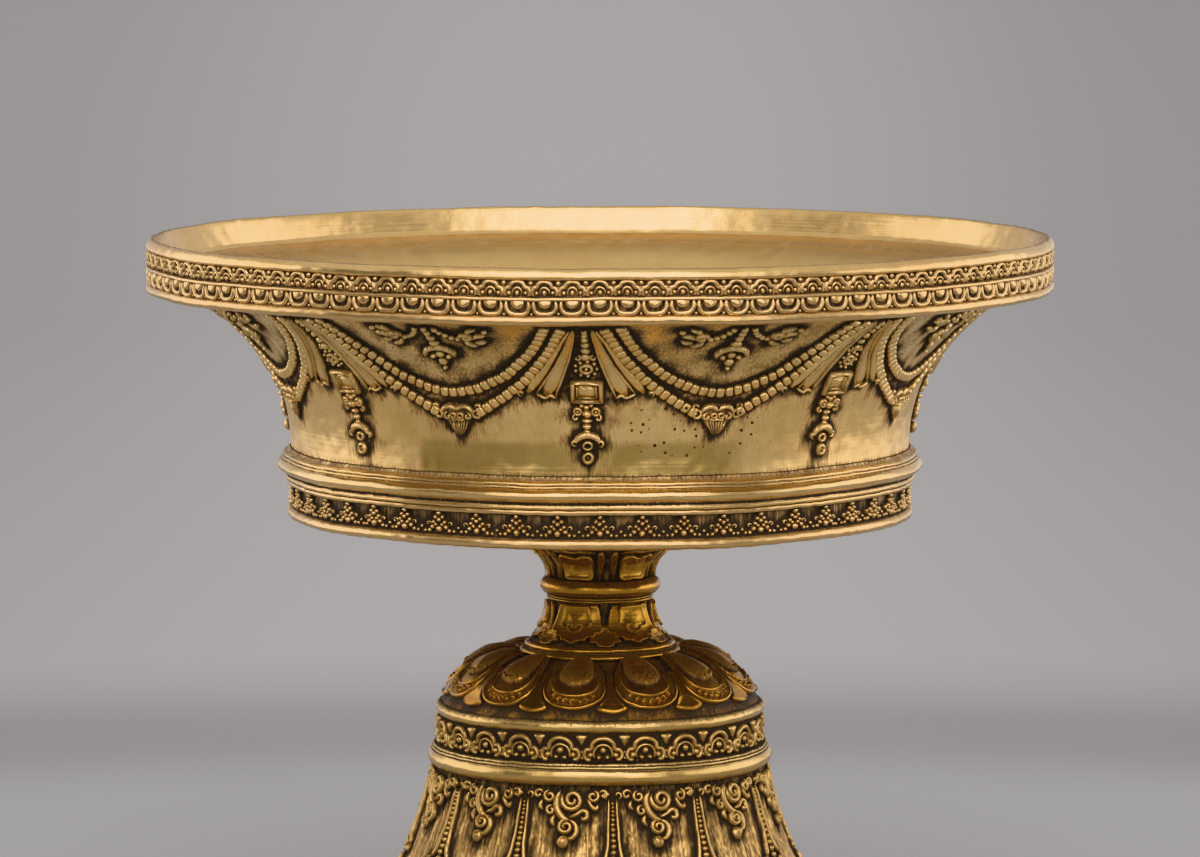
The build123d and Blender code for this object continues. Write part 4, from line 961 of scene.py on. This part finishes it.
def guides(name, paths):
    """Guide lines on the wall from paths of (degrees, way up), with the ground's outward direction."""
    points, edges, outward = [], [], []
    for path in paths:
        line = rounded(path, 5)
        start = len(points)
        here = WALL(np.radians(line[:, 0]), line[:, 1], 0 * line[:, 0])
        out = WALL(np.radians(line[:, 0]), line[:, 1], 0 * line[:, 0] + 1.0) - here
        points += here.tolist()
        outward += (out * PER_METRE).tolist()
        edges += [(start + k, start + k + 1) for k in range(len(line) - 1)]
    mesh = bpy.data.meshes.new(name)
    mesh.from_pydata(points, edges, [])
    mesh.attributes.new("outward", "FLOAT_VECTOR", "POINT").data.foreach_set("vector", np.ravel(outward))
    piece = bpy.data.objects.new(name, mesh)
    bpy.context.scene.collection.objects.link(piece)
    return piece


def hoop(x, y, across, up, parts):
    """Points of a small ring or oval."""
    return [(x + across * cos(a), y + up * sin(a)) for a in np.arange(parts) * 2 * pi / parts]


upper = [(5.3, 60), (6.3, 53.5), (7.5, 48), (8.8, 43.8), (10.2, 40.6), (11.6, 37.5), (13, 35),
         (14.4, 33.2), (16, 31.6), (17.5, 30), (19.2, 29), (21, 28.2), (22.5, 28.0)]
lower = [(3.1, 59), (3.9, 54), (4.6, 49.7), (5.8, 44.4), (7, 40.6), (8.1, 37.5), (9.2, 34.5), (10.4, 32.1),
         (11.5, 30.4), (12.8, 28.1), (14.1, 26.1), (15.4, 24.5), (16.9, 22.6), (18.2, 21)]
swags = guides("swags", [upper + [(SWAG_DEGREES - x, y) for x, y in upper[-2::-1]], lower,
                         [(SWAG_DEGREES - x, y) for x, y in lower]])
square = Relief()
square.leaf([(1.36 * np.sign(cos(a)) * abs(cos(a))**0.5, 1.75 * np.sign(sin(a)) * abs(sin(a))**0.5)
             for a in np.arange(12) * pi / 6 + 0.26], ((0.0, 0.7), (0.12, 1.25), (0.35, 1.5), (0.75, 1.6)),
            1.55)
bead = flat_piece(square, "swag_bead")
settle(swags, strand_tree(), {"Bead": bead, "Pitch": 0.0029, "Finish": BOWL_BRASS})
bpy.data.objects.remove(bead)
cast(swags, BOWL_BRASS, SWAGS_ROUND, first=FIRST_SWAG)
seat(swags, "bowl", "bowl_brass")

jewel = Relief()
for y, r in ((58.4, 1.0), (55.9, 1.1), (53.2, 1.25), (50.3, 1.4), (47.2, 1.6)):
    jewel.pearl(0.4, y, r, 1.6, up=1.25)
jewel.pearl(0.4, 44.0, 1.5, 1.7)
for side in (-1, 1):
    jewel.ridge(curl(0.4 + side * 2.3, 43.6, 0.3, 1.2, 90, side * 0.9, 7), 0.8, 1.4)
jewel.ridge(hoop(0.4, 38.7, 1.7, 1.7, 14), 1.1, 1.7, closed=True)
jewel.pearl(0.4, 38.7, 0.75, 1.5, sides=8)
for x, y in hoop(0.4, 38.7, 3.2, 3.2, 9):
    jewel.pearl(x, y, 0.7, 1.3, sides=7)
for w, low, top_edge, thick, rise in ((4.4, 25.7, 32.9, 1.6, 2.2), (3.0, 27.1, 31.5, 0.8, 1.7)):
    jewel.ridge([(0.4 + x * w, low + (top_edge - low) * t) for x, t in (
        (-1, 0), (-1, 0.03), (-1, 0.5), (-1, 0.97), (-1, 1), (-0.97, 1), (0, 1), (0.97, 1), (1, 1),
        (1, 0.97), (1, 0.5), (1, 0.03), (1, 0), (0.97, 0), (0, 0), (-0.97, 0))], thick, rise, closed=True)
jewel.leaf([(-2.2, 27.6), (0.4, 27.5), (3.0, 27.6), (3.1, 29.3), (3.0, 31.0), (0.4, 31.1), (-2.2, 31.0),
            (-2.3, 29.3)], ((0.0, 0.9), (0.08, 1.25), (0.9, 1.35)), 1.3)
for side in (-1, 1):
    jewel.ridge(hoop(0.2 + side * 2.9, 21.9, 1.2, 1.2, 10), 0.9, 1.8, closed=True)
    jewel.pearl(0.2 + side * 2.9, 21.9, 0.7, 1.8, sides=8)
    jewel.ridge(curl(0.2 + side * 3.6, 19.6, 0.3, 1.2, 90, side * -0.9, 7), 0.9, 1.5)
    jewel.pearl(0.2 + side * 1.5, 24.0, 0.8, 1.4, sides=8)
    jewel.ridge(curl(0.2 + side * 4.2, 10.9, 0.3, 1.3, 250 if side > 0 else 290, side * 0.95, 8), 1.0, 1.8)
for y, across, up, rise in ((23.4, 1.1, 1.0, 1.6), (21.2, 1.7, 1.5, 2.4), (18.6, 1.9, 0.9, 1.8),
                            (16.6, 1.6, 1.1, 1.9), (14.9, 1.1, 0.9, 1.6)):
    jewel.pearl(0.2, y, across, rise, up=up)
jewel.ridge(rounded([(-3.9, 10.9), (-2.6, 12.7), (0.2, 13.6), (3.0, 12.7), (4.3, 10.9)], 4),
            (1.4, 2.4, 2.6, 2.4, 1.4), 2.1)
jewel.ridge(hoop(0.2, 9.9, 1.4, 1.2, 12), 0.9, 1.7, closed=True)
jewel.ridge(hoop(0.3, 5.9, 1.5, 1.5, 12), 1.3, 1.9, closed=True)
jewel.pearl(0.3, 5.9, 0.6, 1.3, sides=7)
for side in (-1, 1):
    for line, width, rise, flat in (
            (((2.5, 59.6), (4.0, 50.5), (6.9, 40.0), (12.4, 27.6)), (0.8, 1.8, 3.6, 6.0), 1.1, True),
            (((2.2, 59.6), (3.2, 50.5), (5.2, 40.0), (9.6, 26.8)), (0.7, 0.9, 1.1), 1.8, False),
            (((2.9, 59.6), (4.9, 50.5), (8.6, 40.0), (15.4, 28.4)), (0.7, 0.9, 1.1), 1.8, False),
            (((3.5, 59.4), (6.6, 50.0), (11.0, 39.6), (18.2, 28.8)), (0.8, 1.2, 2.0, 3.6), 1.6, True),
            (((9.4, 26.6), (11.2, 27.7), (12.8, 26.8), (15.6, 28.2)), 1.0, 1.6, False)):
        jewel.ridge(rounded([(side * x, y) for x, y in line], 5), width, rise, flat=flat)
    jewel.ridge(curl(side * 20.4, 28.3, 0.3, 1.2, 270, side * 0.9, 7), 0.9, 1.6)
pendants = jewel.wrap("jewel_pendants", WALL, ON_WALL)
cast(pendants, BOWL_BRASS, SWAGS_ROUND, first=FIRST_SWAG)
seat(pendants, "bowl", "bowl_brass")

boss = Relief()
boss.leaf(rounded(both_sides([(0, 24.0), (3.0, 24.0), (5.5, 22.6), (6.2, 20.4), (4.6, 17.6), (2.4, 14.4),
                              (0, 12.0)])[:-1], 2, True), ((0.0, 0.4), (0.1, 0.75), (0.9, 0.85)), 2.1)
boss.ridge(rounded([(-5.9, 20.4), (-4.3, 22.4), (-2.1, 22.8), (0, 21.9), (2.1, 22.8), (4.3, 22.4),
                    (5.9, 20.4)], 4), (1.2, 1.7, 1.5, 1.7, 1.2), 2.2)
for side in (-1, 1):
    boss.ridge(hoop(side * 1.25, 19.8, 0.95, 0.85, 10), 0.7, 2.4, closed=True)
    boss.ridge(curl(side * 3.6, 19.4, 0.3, 1.4, 90, side * -1.0, 9), 1.0, 2.1)
    boss.ridge(curl(side * 6.9, 20.0, 0.4, 1.7, 90, side * 1.1, 10), 1.1, 1.9)
    boss.ridge(curl(side * 7.6, 22.6, 0.3, 1.2, 200 if side > 0 else -20, side * -0.9, 7), 1.0, 1.7)
boss.ridge(rounded([(-2.6, 18.6), (-1.2, 18.1), (0, 18.5), (1.2, 18.1), (2.6, 18.6)], 3), 0.9, 2.2)
for x in (-3.3, -2.2, -1.1, 0, 1.1, 2.2, 3.3):
    boss.ridge([(x, 17.5 + 0.12 * abs(x)), (x * 0.74, 15.6), (x * 0.34, 13.2)], 0.75, 1.8)
for y, r in ((59, 1.1), (56.4, 1.3), (53.4, 1.55), (50.3, 1.9)):
    boss.pearl(0, y, r, 1.7, up=1.35)
boss.ridge(rounded(both_sides([(4.8, 43.6), (4.2, 45.8), (2.3, 47.4), (0, 48.0)]), 4),
           (1.5, 2.1, 2.3, 2.1, 1.5), 2.0)
for x, y, r in ((0, 44.4, 1.5), (-2.5, 43.4, 1.0), (2.5, 43.4, 1.0), (0, 41.0, 1.7), (0, 38.4, 0.8)):
    boss.pearl(x, y, r, 1.8)
for side in (-1, 1):
    for x, y in ((2.9, 58.8), (3.7, 56.9), (4.9, 55.2), (6.4, 53.9), (8.1, 53.2)):
        boss.pearl(side * x, y, 1.05, 1.5, sides=8)
    boss.ridge(curl(side * 10.8, 54.2, 0.5, 2.1, 200 if side > 0 else -20, side * -1.2, 12), 1.4, 1.8)
    for line in (((11.0, 56.2), (12.6, 58.2), (14.6, 59.4)), ((12.4, 53.4), (14.2, 55.0), (16.4, 55.4)),
                 ((9.6, 51.8), (11.0, 49.8), (13.2, 49.4)), ((12.8, 51.4), (14.6, 51.2), (16.2, 52.2))):
        boss.ridge(rounded([(side * x, y) for x, y in line], 4), (1.2, 2.0, 1.0), 1.6)
    boss.pearl(side * 16.6, 57.6, 1.1, 1.5, sides=8)
face_bosses = boss.wrap("face_bosses", WALL, ON_WALL)
cast(face_bosses, BOWL_BRASS, SWAGS_ROUND, first=FIRST_SWAG + SWAG_DEGREES / 2)
seat(face_bosses, "bowl", "bowl_brass")

gather_on_wall = tarnished(WALL_STAIN, 2.9, swags, pendants, face_bosses)


def patina_and_painted_shade(turns, r, z, rec):
    """Patina left by the brush round the raised work and above the moulding, and painted shade under the
    rim.
    """
    wall = np.abs(rec - WALL_STAIN) < 0.01
    rec = gather_on_wall(turns, r, z, rec)[2]
    at_moulding = np.clip(1 - (z - WALL_FOOT[1]) / 1.4, 0, 1)
    # Painted shade: the top of the wall under the overhanging rim is made darker.
    painted_shade_under_rim = np.clip((z - 229) / 9, 0, 1)
    return r, z, np.where(wall, np.clip(rec + (0.3 * at_moulding + 0.10 * painted_shade_under_rim), 0, 1), rec)


inner_wall = [(WALL_FOOT[0] + FLARE - INNER_FLARE * cos(a), WALL_FOOT[1] + INNER_FLARE * sin(a), 0.04)
              for a in np.linspace(FLARE_TURN, 0, 16)]
basin = turned("basin_casting", [
    (5.7, 172.6, 0.8), (10.2, 172.6, 0.8), (10.2, 170.1, 0.8), (28, 170.1, 0.5), (60, 174.2, 0.6),
    (96.9, 179.1, 0.8), (96.9, 190.1, 0.8), (102.1, 190.3, 0.8), (102.15, 200.4, 0.8),
    *[(r, z, WALL_STAIN) for r, z in wall_line], (140, 254.3, 0.6), (144.6, 256.4, 0.6),
    (144.6, 257.4, 0.1), (139.0, 258.0, 0.04), (138.2, 258.5, 0.04), (137.0, 258.17, 0.04),
    (136.0, 257.80, 0.04), (134.5, 257.19, 0.04), *inner_wall, (94.2, 193.6, 0.04), (92.4, 189.6, 0.12),
    (90.6, 186.9, 0.18), (87.0, 185.0, 0.18), (70, 182.3, 0.1), (50, 179.3, 0.1), (30, 176.6, 0.15),
    (28, 176.1, 0.2), (5.7, 176.0, 0.4)], columns=576, shape=patina_and_painted_shade)
cast(basin, BOWL_BRASS)


def lined(piece, finish):
    """Gives the faces that look inwards at the axis, or up inside the bowl, a finish of their own."""
    mesh = piece.data
    mesh.materials.append(finish)
    normals, centres = np.empty(len(mesh.polygons) * 3), np.empty(len(mesh.polygons) * 3)
    mesh.polygons.foreach_get("normal", normals)
    mesh.polygons.foreach_get("center", centres)
    normals, centres = normals.reshape(-1, 3), centres.reshape(-1, 3)
    out = np.sum(normals[:, :2] * centres[:, :2], axis=1) / np.hypot(centres[:, 0], centres[:, 1])
    faces_in = normals[:, 2] - 2 * out
    mesh.polygons.foreach_set("material_index", (faces_in > 0.5).astype(int))


lined(basin, INSIDE_BRASS)
seat(basin, "bowl", "bowl_brass", "basin")


# Moulding: the double-bead ring round the foot of the wall. Turned brass, sleeved on the basin and
# soldered, rubbed bright by handling on its larger bead.

MOULDING_BRASS = brass("moulding brass", gold=(0.80, 0.555, 0.255), polish=0.24)
basin_moulding = turned("basin_moulding_casting", [
    (102.4, 190.25, 0.8), (103.3, 190.25, 0.6),
    *swell((103.5, 190.4, 0.3), (104.2, 191.0, 0.0), (103.8, 191.7, 0.3), 5), (103.8, 191.9, 0.85),
    (104.1, 192.5, 0.85), (104.6, 192.9, 0.5), (105.6, 193.4, 0.1), (106.3, 194.1, 0.0),
    (106.55, 194.8, 0.0), (106.45, 195.4, 0.0), (106.0, 196.1, 0.0), (105.4, 196.7, 0.0),
    (105.0, 196.95, 0.3), (104.8, 197.05, 0.9),
    *swell((104.8, 197.15, 0.5), (105.0, 197.5, 0.0), (104.6, 197.9, 0.3), 5), (104.4, 197.95, 0.9),
    *swell((104.4, 198.05, 0.5), (104.6, 198.5, 0.0), (104.1, 199.05, 0.1), 5), (103.4, 199.4, 0.4),
    (102.9, 199.9, 0.5), (102.6, 200.5, 0.5), (102.4, 200.95, 0.8)], columns=288)
cast(basin_moulding, MOULDING_BRASS)
seat(basin_moulding, "bowl", "bowl_brass", "basin_moulding")


# Drum band: the upright band under the moulding. Brass, its sunk ground left black between two
# borders, with pearl clusters chased all round.

RIM_BRASS = brass("rim brass", gold=(0.74, 0.50, 0.235), amber=(0.58, 0.36, 0.135), polish=0.27)
CLUSTERS_ROUND = 48
cluster = Relief()
for x, y, r, rise in ((0, 6.9, 0.95, 1.7), (-1.25, 5.5, 0.75, 1.5), (1.25, 5.5, 0.75, 1.5),
                      (0, 4.7, 0.85, 1.7), (-2.0, 3.9, 0.75, 1.5), (2.0, 3.9, 0.75, 1.5),
                      (-1.1, 3.1, 0.7, 1.5), (1.1, 3.1, 0.7, 1.5), (0, 1.7, 1.15, 1.8),
                      (-2.5, 2.2, 0.85, 1.5), (2.5, 2.2, 0.85, 1.5), (-3.7, 1.1, 0.7, 1.2),
                      (3.7, 1.1, 0.7, 1.2), (-5.3, 1.0, 0.6, 1.0), (5.3, 1.0, 0.6, 1.0),
                      (6.75, 2.2, 0.6, 0.9)):
    cluster.pearl(x, y, r, rise, sides=8)
for side in (-1, 1):
    cluster.ridge(curl(side * 4.0, 3.2, 0.2, 1.0, 200 if side > 0 else -20, side * -0.9, 6), 0.6, 1.2)
drum_clusters = cluster.wrap("drum_clusters", ground_of([(101.4, 181.1), (101.3, 184.8), (101.4, 188.6)]),
                             101.6)
cast(drum_clusters, RIM_BRASS, CLUSTERS_ROUND)
seat(drum_clusters, "bowl", "bowl_brass")

drum_band = turned("drum_band_casting", [
    (97.3, 177.5, 0.8), (101.6, 177.45, 0.6),
    *swell((102.0, 177.5, 0.2), (103.3, 179.0, 0.0), (102.3, 180.7, 0.3), 9), (101.5, 181.0, 1.0),
    *upright(101.3, 181.5, 188.1, 8, 0.6), (101.5, 188.5, 1.0), (103.0, 188.6, 0.6), (103.4, 188.9, 0.0),
    (103.45, 189.8, 0.0), (103.2, 190.1, 0.5), (97.3, 190.15, 0.8)], columns=576,
    shape=tarnished(0.6, 1.2, drum_clusters))
cast(drum_band, RIM_BRASS)
seat(drum_band, "bowl", "bowl_brass", "drum_band")


# Rim band: the heavy upright band round the mouth. Brass, soldered round the basin's lip, with a row
# of lobed arches over a row of hanging loops, and a plain lip worn bright.

LIP_BRASS = brass("lip brass", gold=(0.81, 0.555, 0.25), amber=(0.67, 0.42, 0.155), amber_share=0.5,
                  polish=0.25)
RIM_ROUND, ON_RIM, LIP_FOOT = 110, 148.4, 0.2665
upper_row = Relief()
upper_row.ridge(rounded(both_sides([(3.2, 0.4), (4.0, 1.3), (3.5, 2.8), (2.4, 3.0), (1.9, 4.1), (0.9, 4.7),
                                    (0, 4.9)]), 2), 1.5, 1.25)
upper_row.ridge([(1.6 * cos(a), 1.2 + 1.8 * sin(a)) for a in np.linspace(-0.2, pi + 0.2, 8)], 0.9, 0.95)
upper_row.pearl(0, 1.35, 0.85, 1.2, up=0.95, sides=8)
for x, y, r in ((-2.6, 1.3, 0.75), (2.6, 1.3, 0.75), (4.24, 4.3, 0.85), (4.24, 3.0, 0.4)):
    upper_row.pearl(x, y, r, 0.95, sides=7)
rim_arches = upper_row.wrap("rim_arches", ground_of([(148.1, 261.2), (148.1, 263.6), (148.2, 266.3)]),
                            ON_RIM)
cast(rim_arches, RIM_BRASS, RIM_ROUND)
seat(rim_arches, "bowl", "bowl_brass")

lower_row = Relief()
lower_row.ridge(rounded(both_sides([(3.3, 4.9), (3.5, 3.1), (3.0, 1.6), (1.9, 0.8), (0, 0.6)]), 2), 1.6,
                1.2)
lower_row.leaf(rounded([(-2.1, 4.9), (-2.0, 3.6), (-1.3, 2.7), (0, 2.3), (1.3, 2.7), (2.0, 3.6),
                        (2.1, 4.9)], 2), ((0.0, 0.7), (0.25, 1.1), (0.6, 1.3), (0.9, 1.35)), 1.25)
lower_row.pearl(4.24, 0.7, 0.55, 0.8, sides=7)
rim_loops = lower_row.wrap("rim_loops", ground_of([(148.1, 255.3), (148.1, 257.6), (148.2, 260.2)]),
                           ON_RIM)
cast(rim_loops, RIM_BRASS, RIM_ROUND)
seat(rim_loops, "bowl", "bowl_brass")

rim_inside = [(146.3 - 3.4 * t, 269.1 - 8.2 * t, 0.03) for t in np.linspace(0, 1, 6)]
rim_inside += [(142.6, 260.75, 0.1), (141.5, 260.27, 0.06), (139.5, 259.36, 0.04), (138.0, 258.68, 0.04),
               (137.0, 258.22, 0.04), (136.0, 257.74, 0.04), (134.9, 257.2, 0.04)]
# Painted shade: the rim's underside, where it overhangs the flare, is given a high recess so it reads near
# black.
rim_band = turned("rim_band_casting", [
    (136.0, 252.3, 0.9), (147.2, 252.1, 0.7),
    *swell((148.1, 252.2, 0.2), (149.45, 253.7, 0.0), (148.6, 255.2, 0.2), 8), (148.2, 255.45, 1.0),
    *upright(148.1, 255.9, 259.6, 5, 0.75), (148.2, 259.9, 1.0),
    *swell((148.5, 260.0, 0.5), (149.4, 260.6, 0.0), (148.5, 261.1, 0.5), 6),
    *upright(148.1, 261.4, 265.9, 6, 0.75), (148.4, 266.2, 0.9), (148.7, 266.3, 0.4), (149.2, 266.6, 0.1),
    (149.45, 267.1, 0.0), (149.25, 267.9, 0.0), (148.8, 268.7, 0.0), (148.2, 269.4, 0.0),
    (147.6, 269.8, 0.0), (147.0, 269.85, 0.0), (146.6, 269.6, 0.0), *rim_inside, (134.9, 255.0, 0.3)],
    columns=576)
cast(rim_band, RIM_BRASS)
lined(rim_band, LIP_BRASS)
for face in rim_band.data.polygons:
    if face.center.z > LIP_FOOT:
        face.material_index = 1
seat(rim_band, "bowl", "bowl_brass", "rim_band")


# Stud, socket seal and wick socket: an iron stud through the basin's floor screws into the core tube
# below; the flanged brass socket screws onto it from inside over a leather washer.

bowl_stud = turned("bowl_stud_forging", [
    (0.0, 149.05, 0.3), (4.6, 149.05, 0.2), *[(5.45, z, 0.2) for z in np.arange(149.8, 168.6, 0.35)],
    (5.45, 170.02, 0.6), (9.8, 170.02, 0.6), (9.95, 170.4, 0.6), (9.95, 172.45, 0.6), (5.45, 172.45, 0.6),
    (5.45, 184.5, 0.6), (4.8, 184.95, 0.6), (0.0, 184.95, 0.6)], columns=60, shape=threaded(149.5, 168.7))
cast(bowl_stud, IRON, wander=0.0001, ripple=0.0)
seat(bowl_stud, "bowl", "iron", "bowl_stud")

socket_seal = turned("socket_seal_leather", eased([
    (5.9, 176.02, 0.5), (13.8, 176.02, 0.3), (13.95, 176.5, 0.2), (13.8, 176.98, 0.3), (5.9, 176.98, 0.5)],
    0.2), columns=80)
cast(socket_seal, LEATHER, wander=0.0001, ripple=0.0)
seat(socket_seal, "bowl", "seal_leather", "socket_seal")

wick_socket = turned("wick_socket_casting", [
    (5.7, 177.05, 0.6), (13.4, 177.05, 0.5),
    *swell((13.6, 177.1, 0.4), (13.95, 178.4, 0.0), (13.2, 179.6, 0.1), 5), (12.0, 179.95, 0.1),
    (9.4, 180.0, 0.8), (8.2, 180.2, 0.9), (7.4, 180.6, 0.6), (7.1, 182.0, 0.1), (7.1, 188.0, 0.1),
    *swell((7.15, 188.2, 0.6), (7.48, 188.9, 0.0), (7.15, 189.6, 0.6), 5), (7.1, 190.0, 0.3),
    (7.1, 195.6, 0.1), *swell((7.15, 195.9, 0.6), (7.48, 197.1, 0.0), (6.6, 198.4, 0.0), 6),
    (4.4, 198.45, 0.1), (3.6, 198.1, 0.4), (3.55, 186.6, 0.9), (0.0, 186.55, 0.9), (0.0, 185.05, 0.9),
    (5.7, 185.05, 0.9)], columns=80)
cast(wick_socket, MOULDING_BRASS, wander=0.0002, ripple=0.0001)
seat(wick_socket, "bowl", "bowl_brass", "wick_socket")


# Wick: raw cotton wound on a thin splint, dipped in butter and burnt at its tip. It stands loose in
# the socket and lifts out to be trimmed.

def splint_finish():
    """Pale split wood with fine long grain, greasy."""
    finish, tree, shader, place = new_finish("split wood")
    spread = node(tree, "ShaderNodeMapping", {"Vector": place, "Scale": (2200, 2200, 60)}).outputs[0]
    fibres = grain_of(tree, spread, 1.0, 3.0)
    fill(tree, shader, {
        "Base Color": mixed(tree, fibres, (0.22, 0.12, 0.05, 1), (0.48, 0.32, 0.16, 1)), "Roughness": 0.55,
        "Normal": bumped(tree, fibres, 0.4, 0.0003)})
    return finish


def split(turns, r, z, rec):
    """A splint that was split, not turned: flat sides that wander a little along it."""
    return r * (1 - 0.07 * np.cos(5 * turns + 0.05 * z) ** 2), z, rec


wick_stick = turned("wick_splint", [(0.0, 186.55, 0.3), (1.15, 186.6, 0.3),
                                    *upright(1.2, 187.2, 246.8, 16, 0.2), (1.0, 247.4, 0.3),
                                    (0.0, 247.45, 0.3)], columns=30, shape=split)
cast(wick_stick, splint_finish(), wander=0.0, ripple=0.0)
seat(wick_stick, "wick", "wick_wood", "wick_stick")


def cotton_finish():
    """Buttery raw cotton, browned and charred towards the tip."""
    finish, tree, shader, place = new_finish("raw cotton")
    burnt = node(tree, "ShaderNodeAttribute", attribute_name="recess").outputs["Fac"]
    fluff = grain_of(tree, place, 900.0, 4.0)
    cloth = mixed(tree, fluff, (0.50, 0.36, 0.16, 1), (0.80, 0.68, 0.44, 1))
    edge = node(tree, "ShaderNodeMath", {0: fluff, 1: 0.5, 2: burnt}, operation="MULTIPLY_ADD").outputs[0]
    scorched = ranged(tree, edge, 0.55, 0.95, way="LINEAR")
    fill(tree, shader, {
        "Base Color": mixed(tree, scorched, cloth, (0.012, 0.010, 0.009, 1)), "Roughness": 0.75,
        "Normal": bumped(tree, fluff, 0.7, 0.0006)})
    return finish


def wound(turns, r, z, rec):
    """Rolled cotton: strands that climb round it, plumper in the middle, loose at the tip."""
    climb = np.cos(4 * turns - 0.55 * z) * 0.5 + np.cos(9 * turns - 0.9 * z + 1.3) * 0.3
    loose = np.where(r > 1.4, 1.0, 0.0)
    return r * (1 - 0.075 * loose * (1 - climb)), z, np.clip((z - 236) / 16, 0, 1)


cotton_side = [(3.2, 187.0), (3.2, 198.6), (3.5, 199.4), (4.0, 201.2), (4.32, 203.4), (4.2, 208),
               (3.9, 216), (3.4, 226), (2.7, 238), (2.1, 245), (1.65, 248.6), (1.3, 249.7), (0.7, 250.25)]
cotton_side = rounded(cotton_side, 4)
wick_cotton = turned("wick_cotton_winding", [
    (1.27, 186.6, 0.2), (2.9, 186.6, 0.2), *[(r, z, 0.2) for r, z in cotton_side], (0.0, 250.4, 0.9),
    (0.0, 247.6, 0.2), (1.27, 247.55, 0.2)], columns=72, shape=wound)
cast(wick_cotton, cotton_finish(), wander=0.0, ripple=0.0)
seat(wick_cotton, "wick", "wick_cotton", "wick_cotton")


# Studio: a pale round table in a grey room that glows softly, with large soft lights on both sides and
# in front, seen through a long lens from a little above the rim.

def room_finish():
    """Matt grey: the table the lamp stands on, then a glowing backdrop; clear when seen from outside."""
    finish, tree, shader, place = new_finish("studio grey")
    level = node(tree, "ShaderNodeVectorMath", {0: place, 1: (1, 1, 0)}, operation="MULTIPLY")
    away = node(tree, "ShaderNodeVectorMath", {0: level.outputs[0]}, operation="LENGTH").outputs["Value"]
    leave, far = ranged(tree, away, 0.54, 0.80), ranged(tree, away, 0.5, 0.98)
    spot = node(tree, "ShaderNodeSeparateXYZ", {0: place}).outputs
    shine = leave
    for axis, start, end, near_shine, far_shine in (
            ("Y", -0.8, 0.0, 0.24, 1.0), ("Y", -2.1, -2.9, 1.0, 12.0), ("X", -0.06, -0.50, 1.0, 0.80),
            ("X", 0.05, 0.50, 1.0, 0.76), ("X", -0.7, -1.05, 1.0, 2.8), ("X", 0.6, 0.95, 1.0, 3.3),
            ("Z", 0.1, 0.9, 1.0, 0.65)):
        side = ranged(tree, spot[axis], start, end, near_shine, far_shine)
        shine = node(tree, "ShaderNodeMath", {0: shine, 1: side}, operation="MULTIPLY").outputs[0]
    fill(tree, shader, {
        "Base Color": mixed(tree, leave, (0.385, 0.383, 0.385, 1), (0.06, 0.06, 0.06, 1)),
        "Roughness": ranged(tree, grain_of(tree, place, 3.0, 2.0), 0, 1, 0.75, 0.9, "LINEAR"),
        "Specular IOR Level": 0.1, "Emission Strength": shine,
        "Emission Color": mixed(tree, far, (0.135, 0.126, 0.124, 1), (0.374, 0.357, 0.353, 1))})
    outside = node(tree, "ShaderNodeNewGeometry").outputs["Backfacing"]
    clear = node(tree, "ShaderNodeBsdfTransparent").outputs[0]
    sided = node(tree, "ShaderNodeMixShader", {0: outside, 1: shader.outputs[0], 2: clear})
    tree.links.new(sided.outputs[0], tree.nodes["Material Output"].inputs["Surface"])
    return finish


COLUMNS, FLOOR_END, COVE, RAISED = 96, 2.7, 0.6, 2.6
WALL_AT = FLOOR_END + COVE
profile = [(r, 0.0) for r in (0.15, 0.4, 0.6, 0.8, 1.2, 2.0, FLOOR_END)]
profile += [(FLOOR_END + COVE * sin(a), COVE - COVE * cos(a)) for a in np.linspace(0.15, pi / 2, 12)]
profile += [(WALL_AT, 1.4), (WALL_AT, 2.6)]
angles = np.arange(COLUMNS) * 2 * pi / COLUMNS
points = [(0.0, 0.0, 0.0)] + [(r * cos(a), r * sin(a), z if z < 2 else z + RAISED * max(0.0, sin(a)) ** 2)
                             for r, z in profile for a in angles]
faces = [(0, 1 + k, 1 + (k + 1) % COLUMNS) for k in range(COLUMNS)]
faces += [(1 + row * COLUMNS + k, 1 + (row + 1) * COLUMNS + k, 1 + (row + 1) * COLUMNS + (k + 1) % COLUMNS,
           1 + row * COLUMNS + (k + 1) % COLUMNS) for row in range(len(profile) - 1)
          for k in range(COLUMNS)]
room = plain_mesh("studio_room", points, faces, [0.0] * len(points))
room.data.materials.append(room_finish())


def softbox(name, place, target, size, power, tint=(1.0, 0.985, 0.97)):
    """A large soft studio light turned towards a point."""
    light = bpy.data.lights.new(name, "AREA")
    light.shape, light.energy, light.color = "RECTANGLE", power, tint
    light.size, light.size_y = size
    lamp = bpy.data.objects.new(name, light)
    lamp.location = place
    lamp.rotation_euler = (Vector(target) - Vector(place)).to_track_quat("-Z", "Y").to_euler()
    bpy.context.scene.collection.objects.link(lamp)


softbox("left softbox", (-1.5, 0.40, 0.58), (0, 0, 0.2), (1.8, 1.1), 7.5)
softbox("right softbox", (1.55, 0.12, 0.58), (0, 0, 0.2), (2.2, 1.1), 10)
softbox("front softbox", (0, -1.32, 1.38), (0, 0, 0.25), (1.8, 1.1), 22)
air = bpy.data.worlds.new("studio air")
air.use_nodes = True
fill(air.node_tree, air.node_tree.nodes["Background"], {"Color": (0.60, 0.59, 0.58, 1), "Strength": 1.2})
bpy.context.scene.world = air
view = bpy.context.scene.view_settings
view.view_transform = "Khronos PBR Neutral"
view.use_curve_mapping = True
view.curve_mapping.black_level = (-0.02, -0.02, -0.02)
view.curve_mapping.update()

LOOK_DOWN = 5.8
lens = bpy.data.cameras.new("long lens")
lens.lens, lens.sensor_width = 186.0, 36.0
camera = bpy.data.objects.new("camera", lens)
camera.location = (0.0, -2.040, 0.413)
camera.rotation_euler = (radians(90 - LOOK_DOWN), 0, 0)
bpy.context.scene.collection.objects.link(camera)
bpy.context.scene.camera = camera
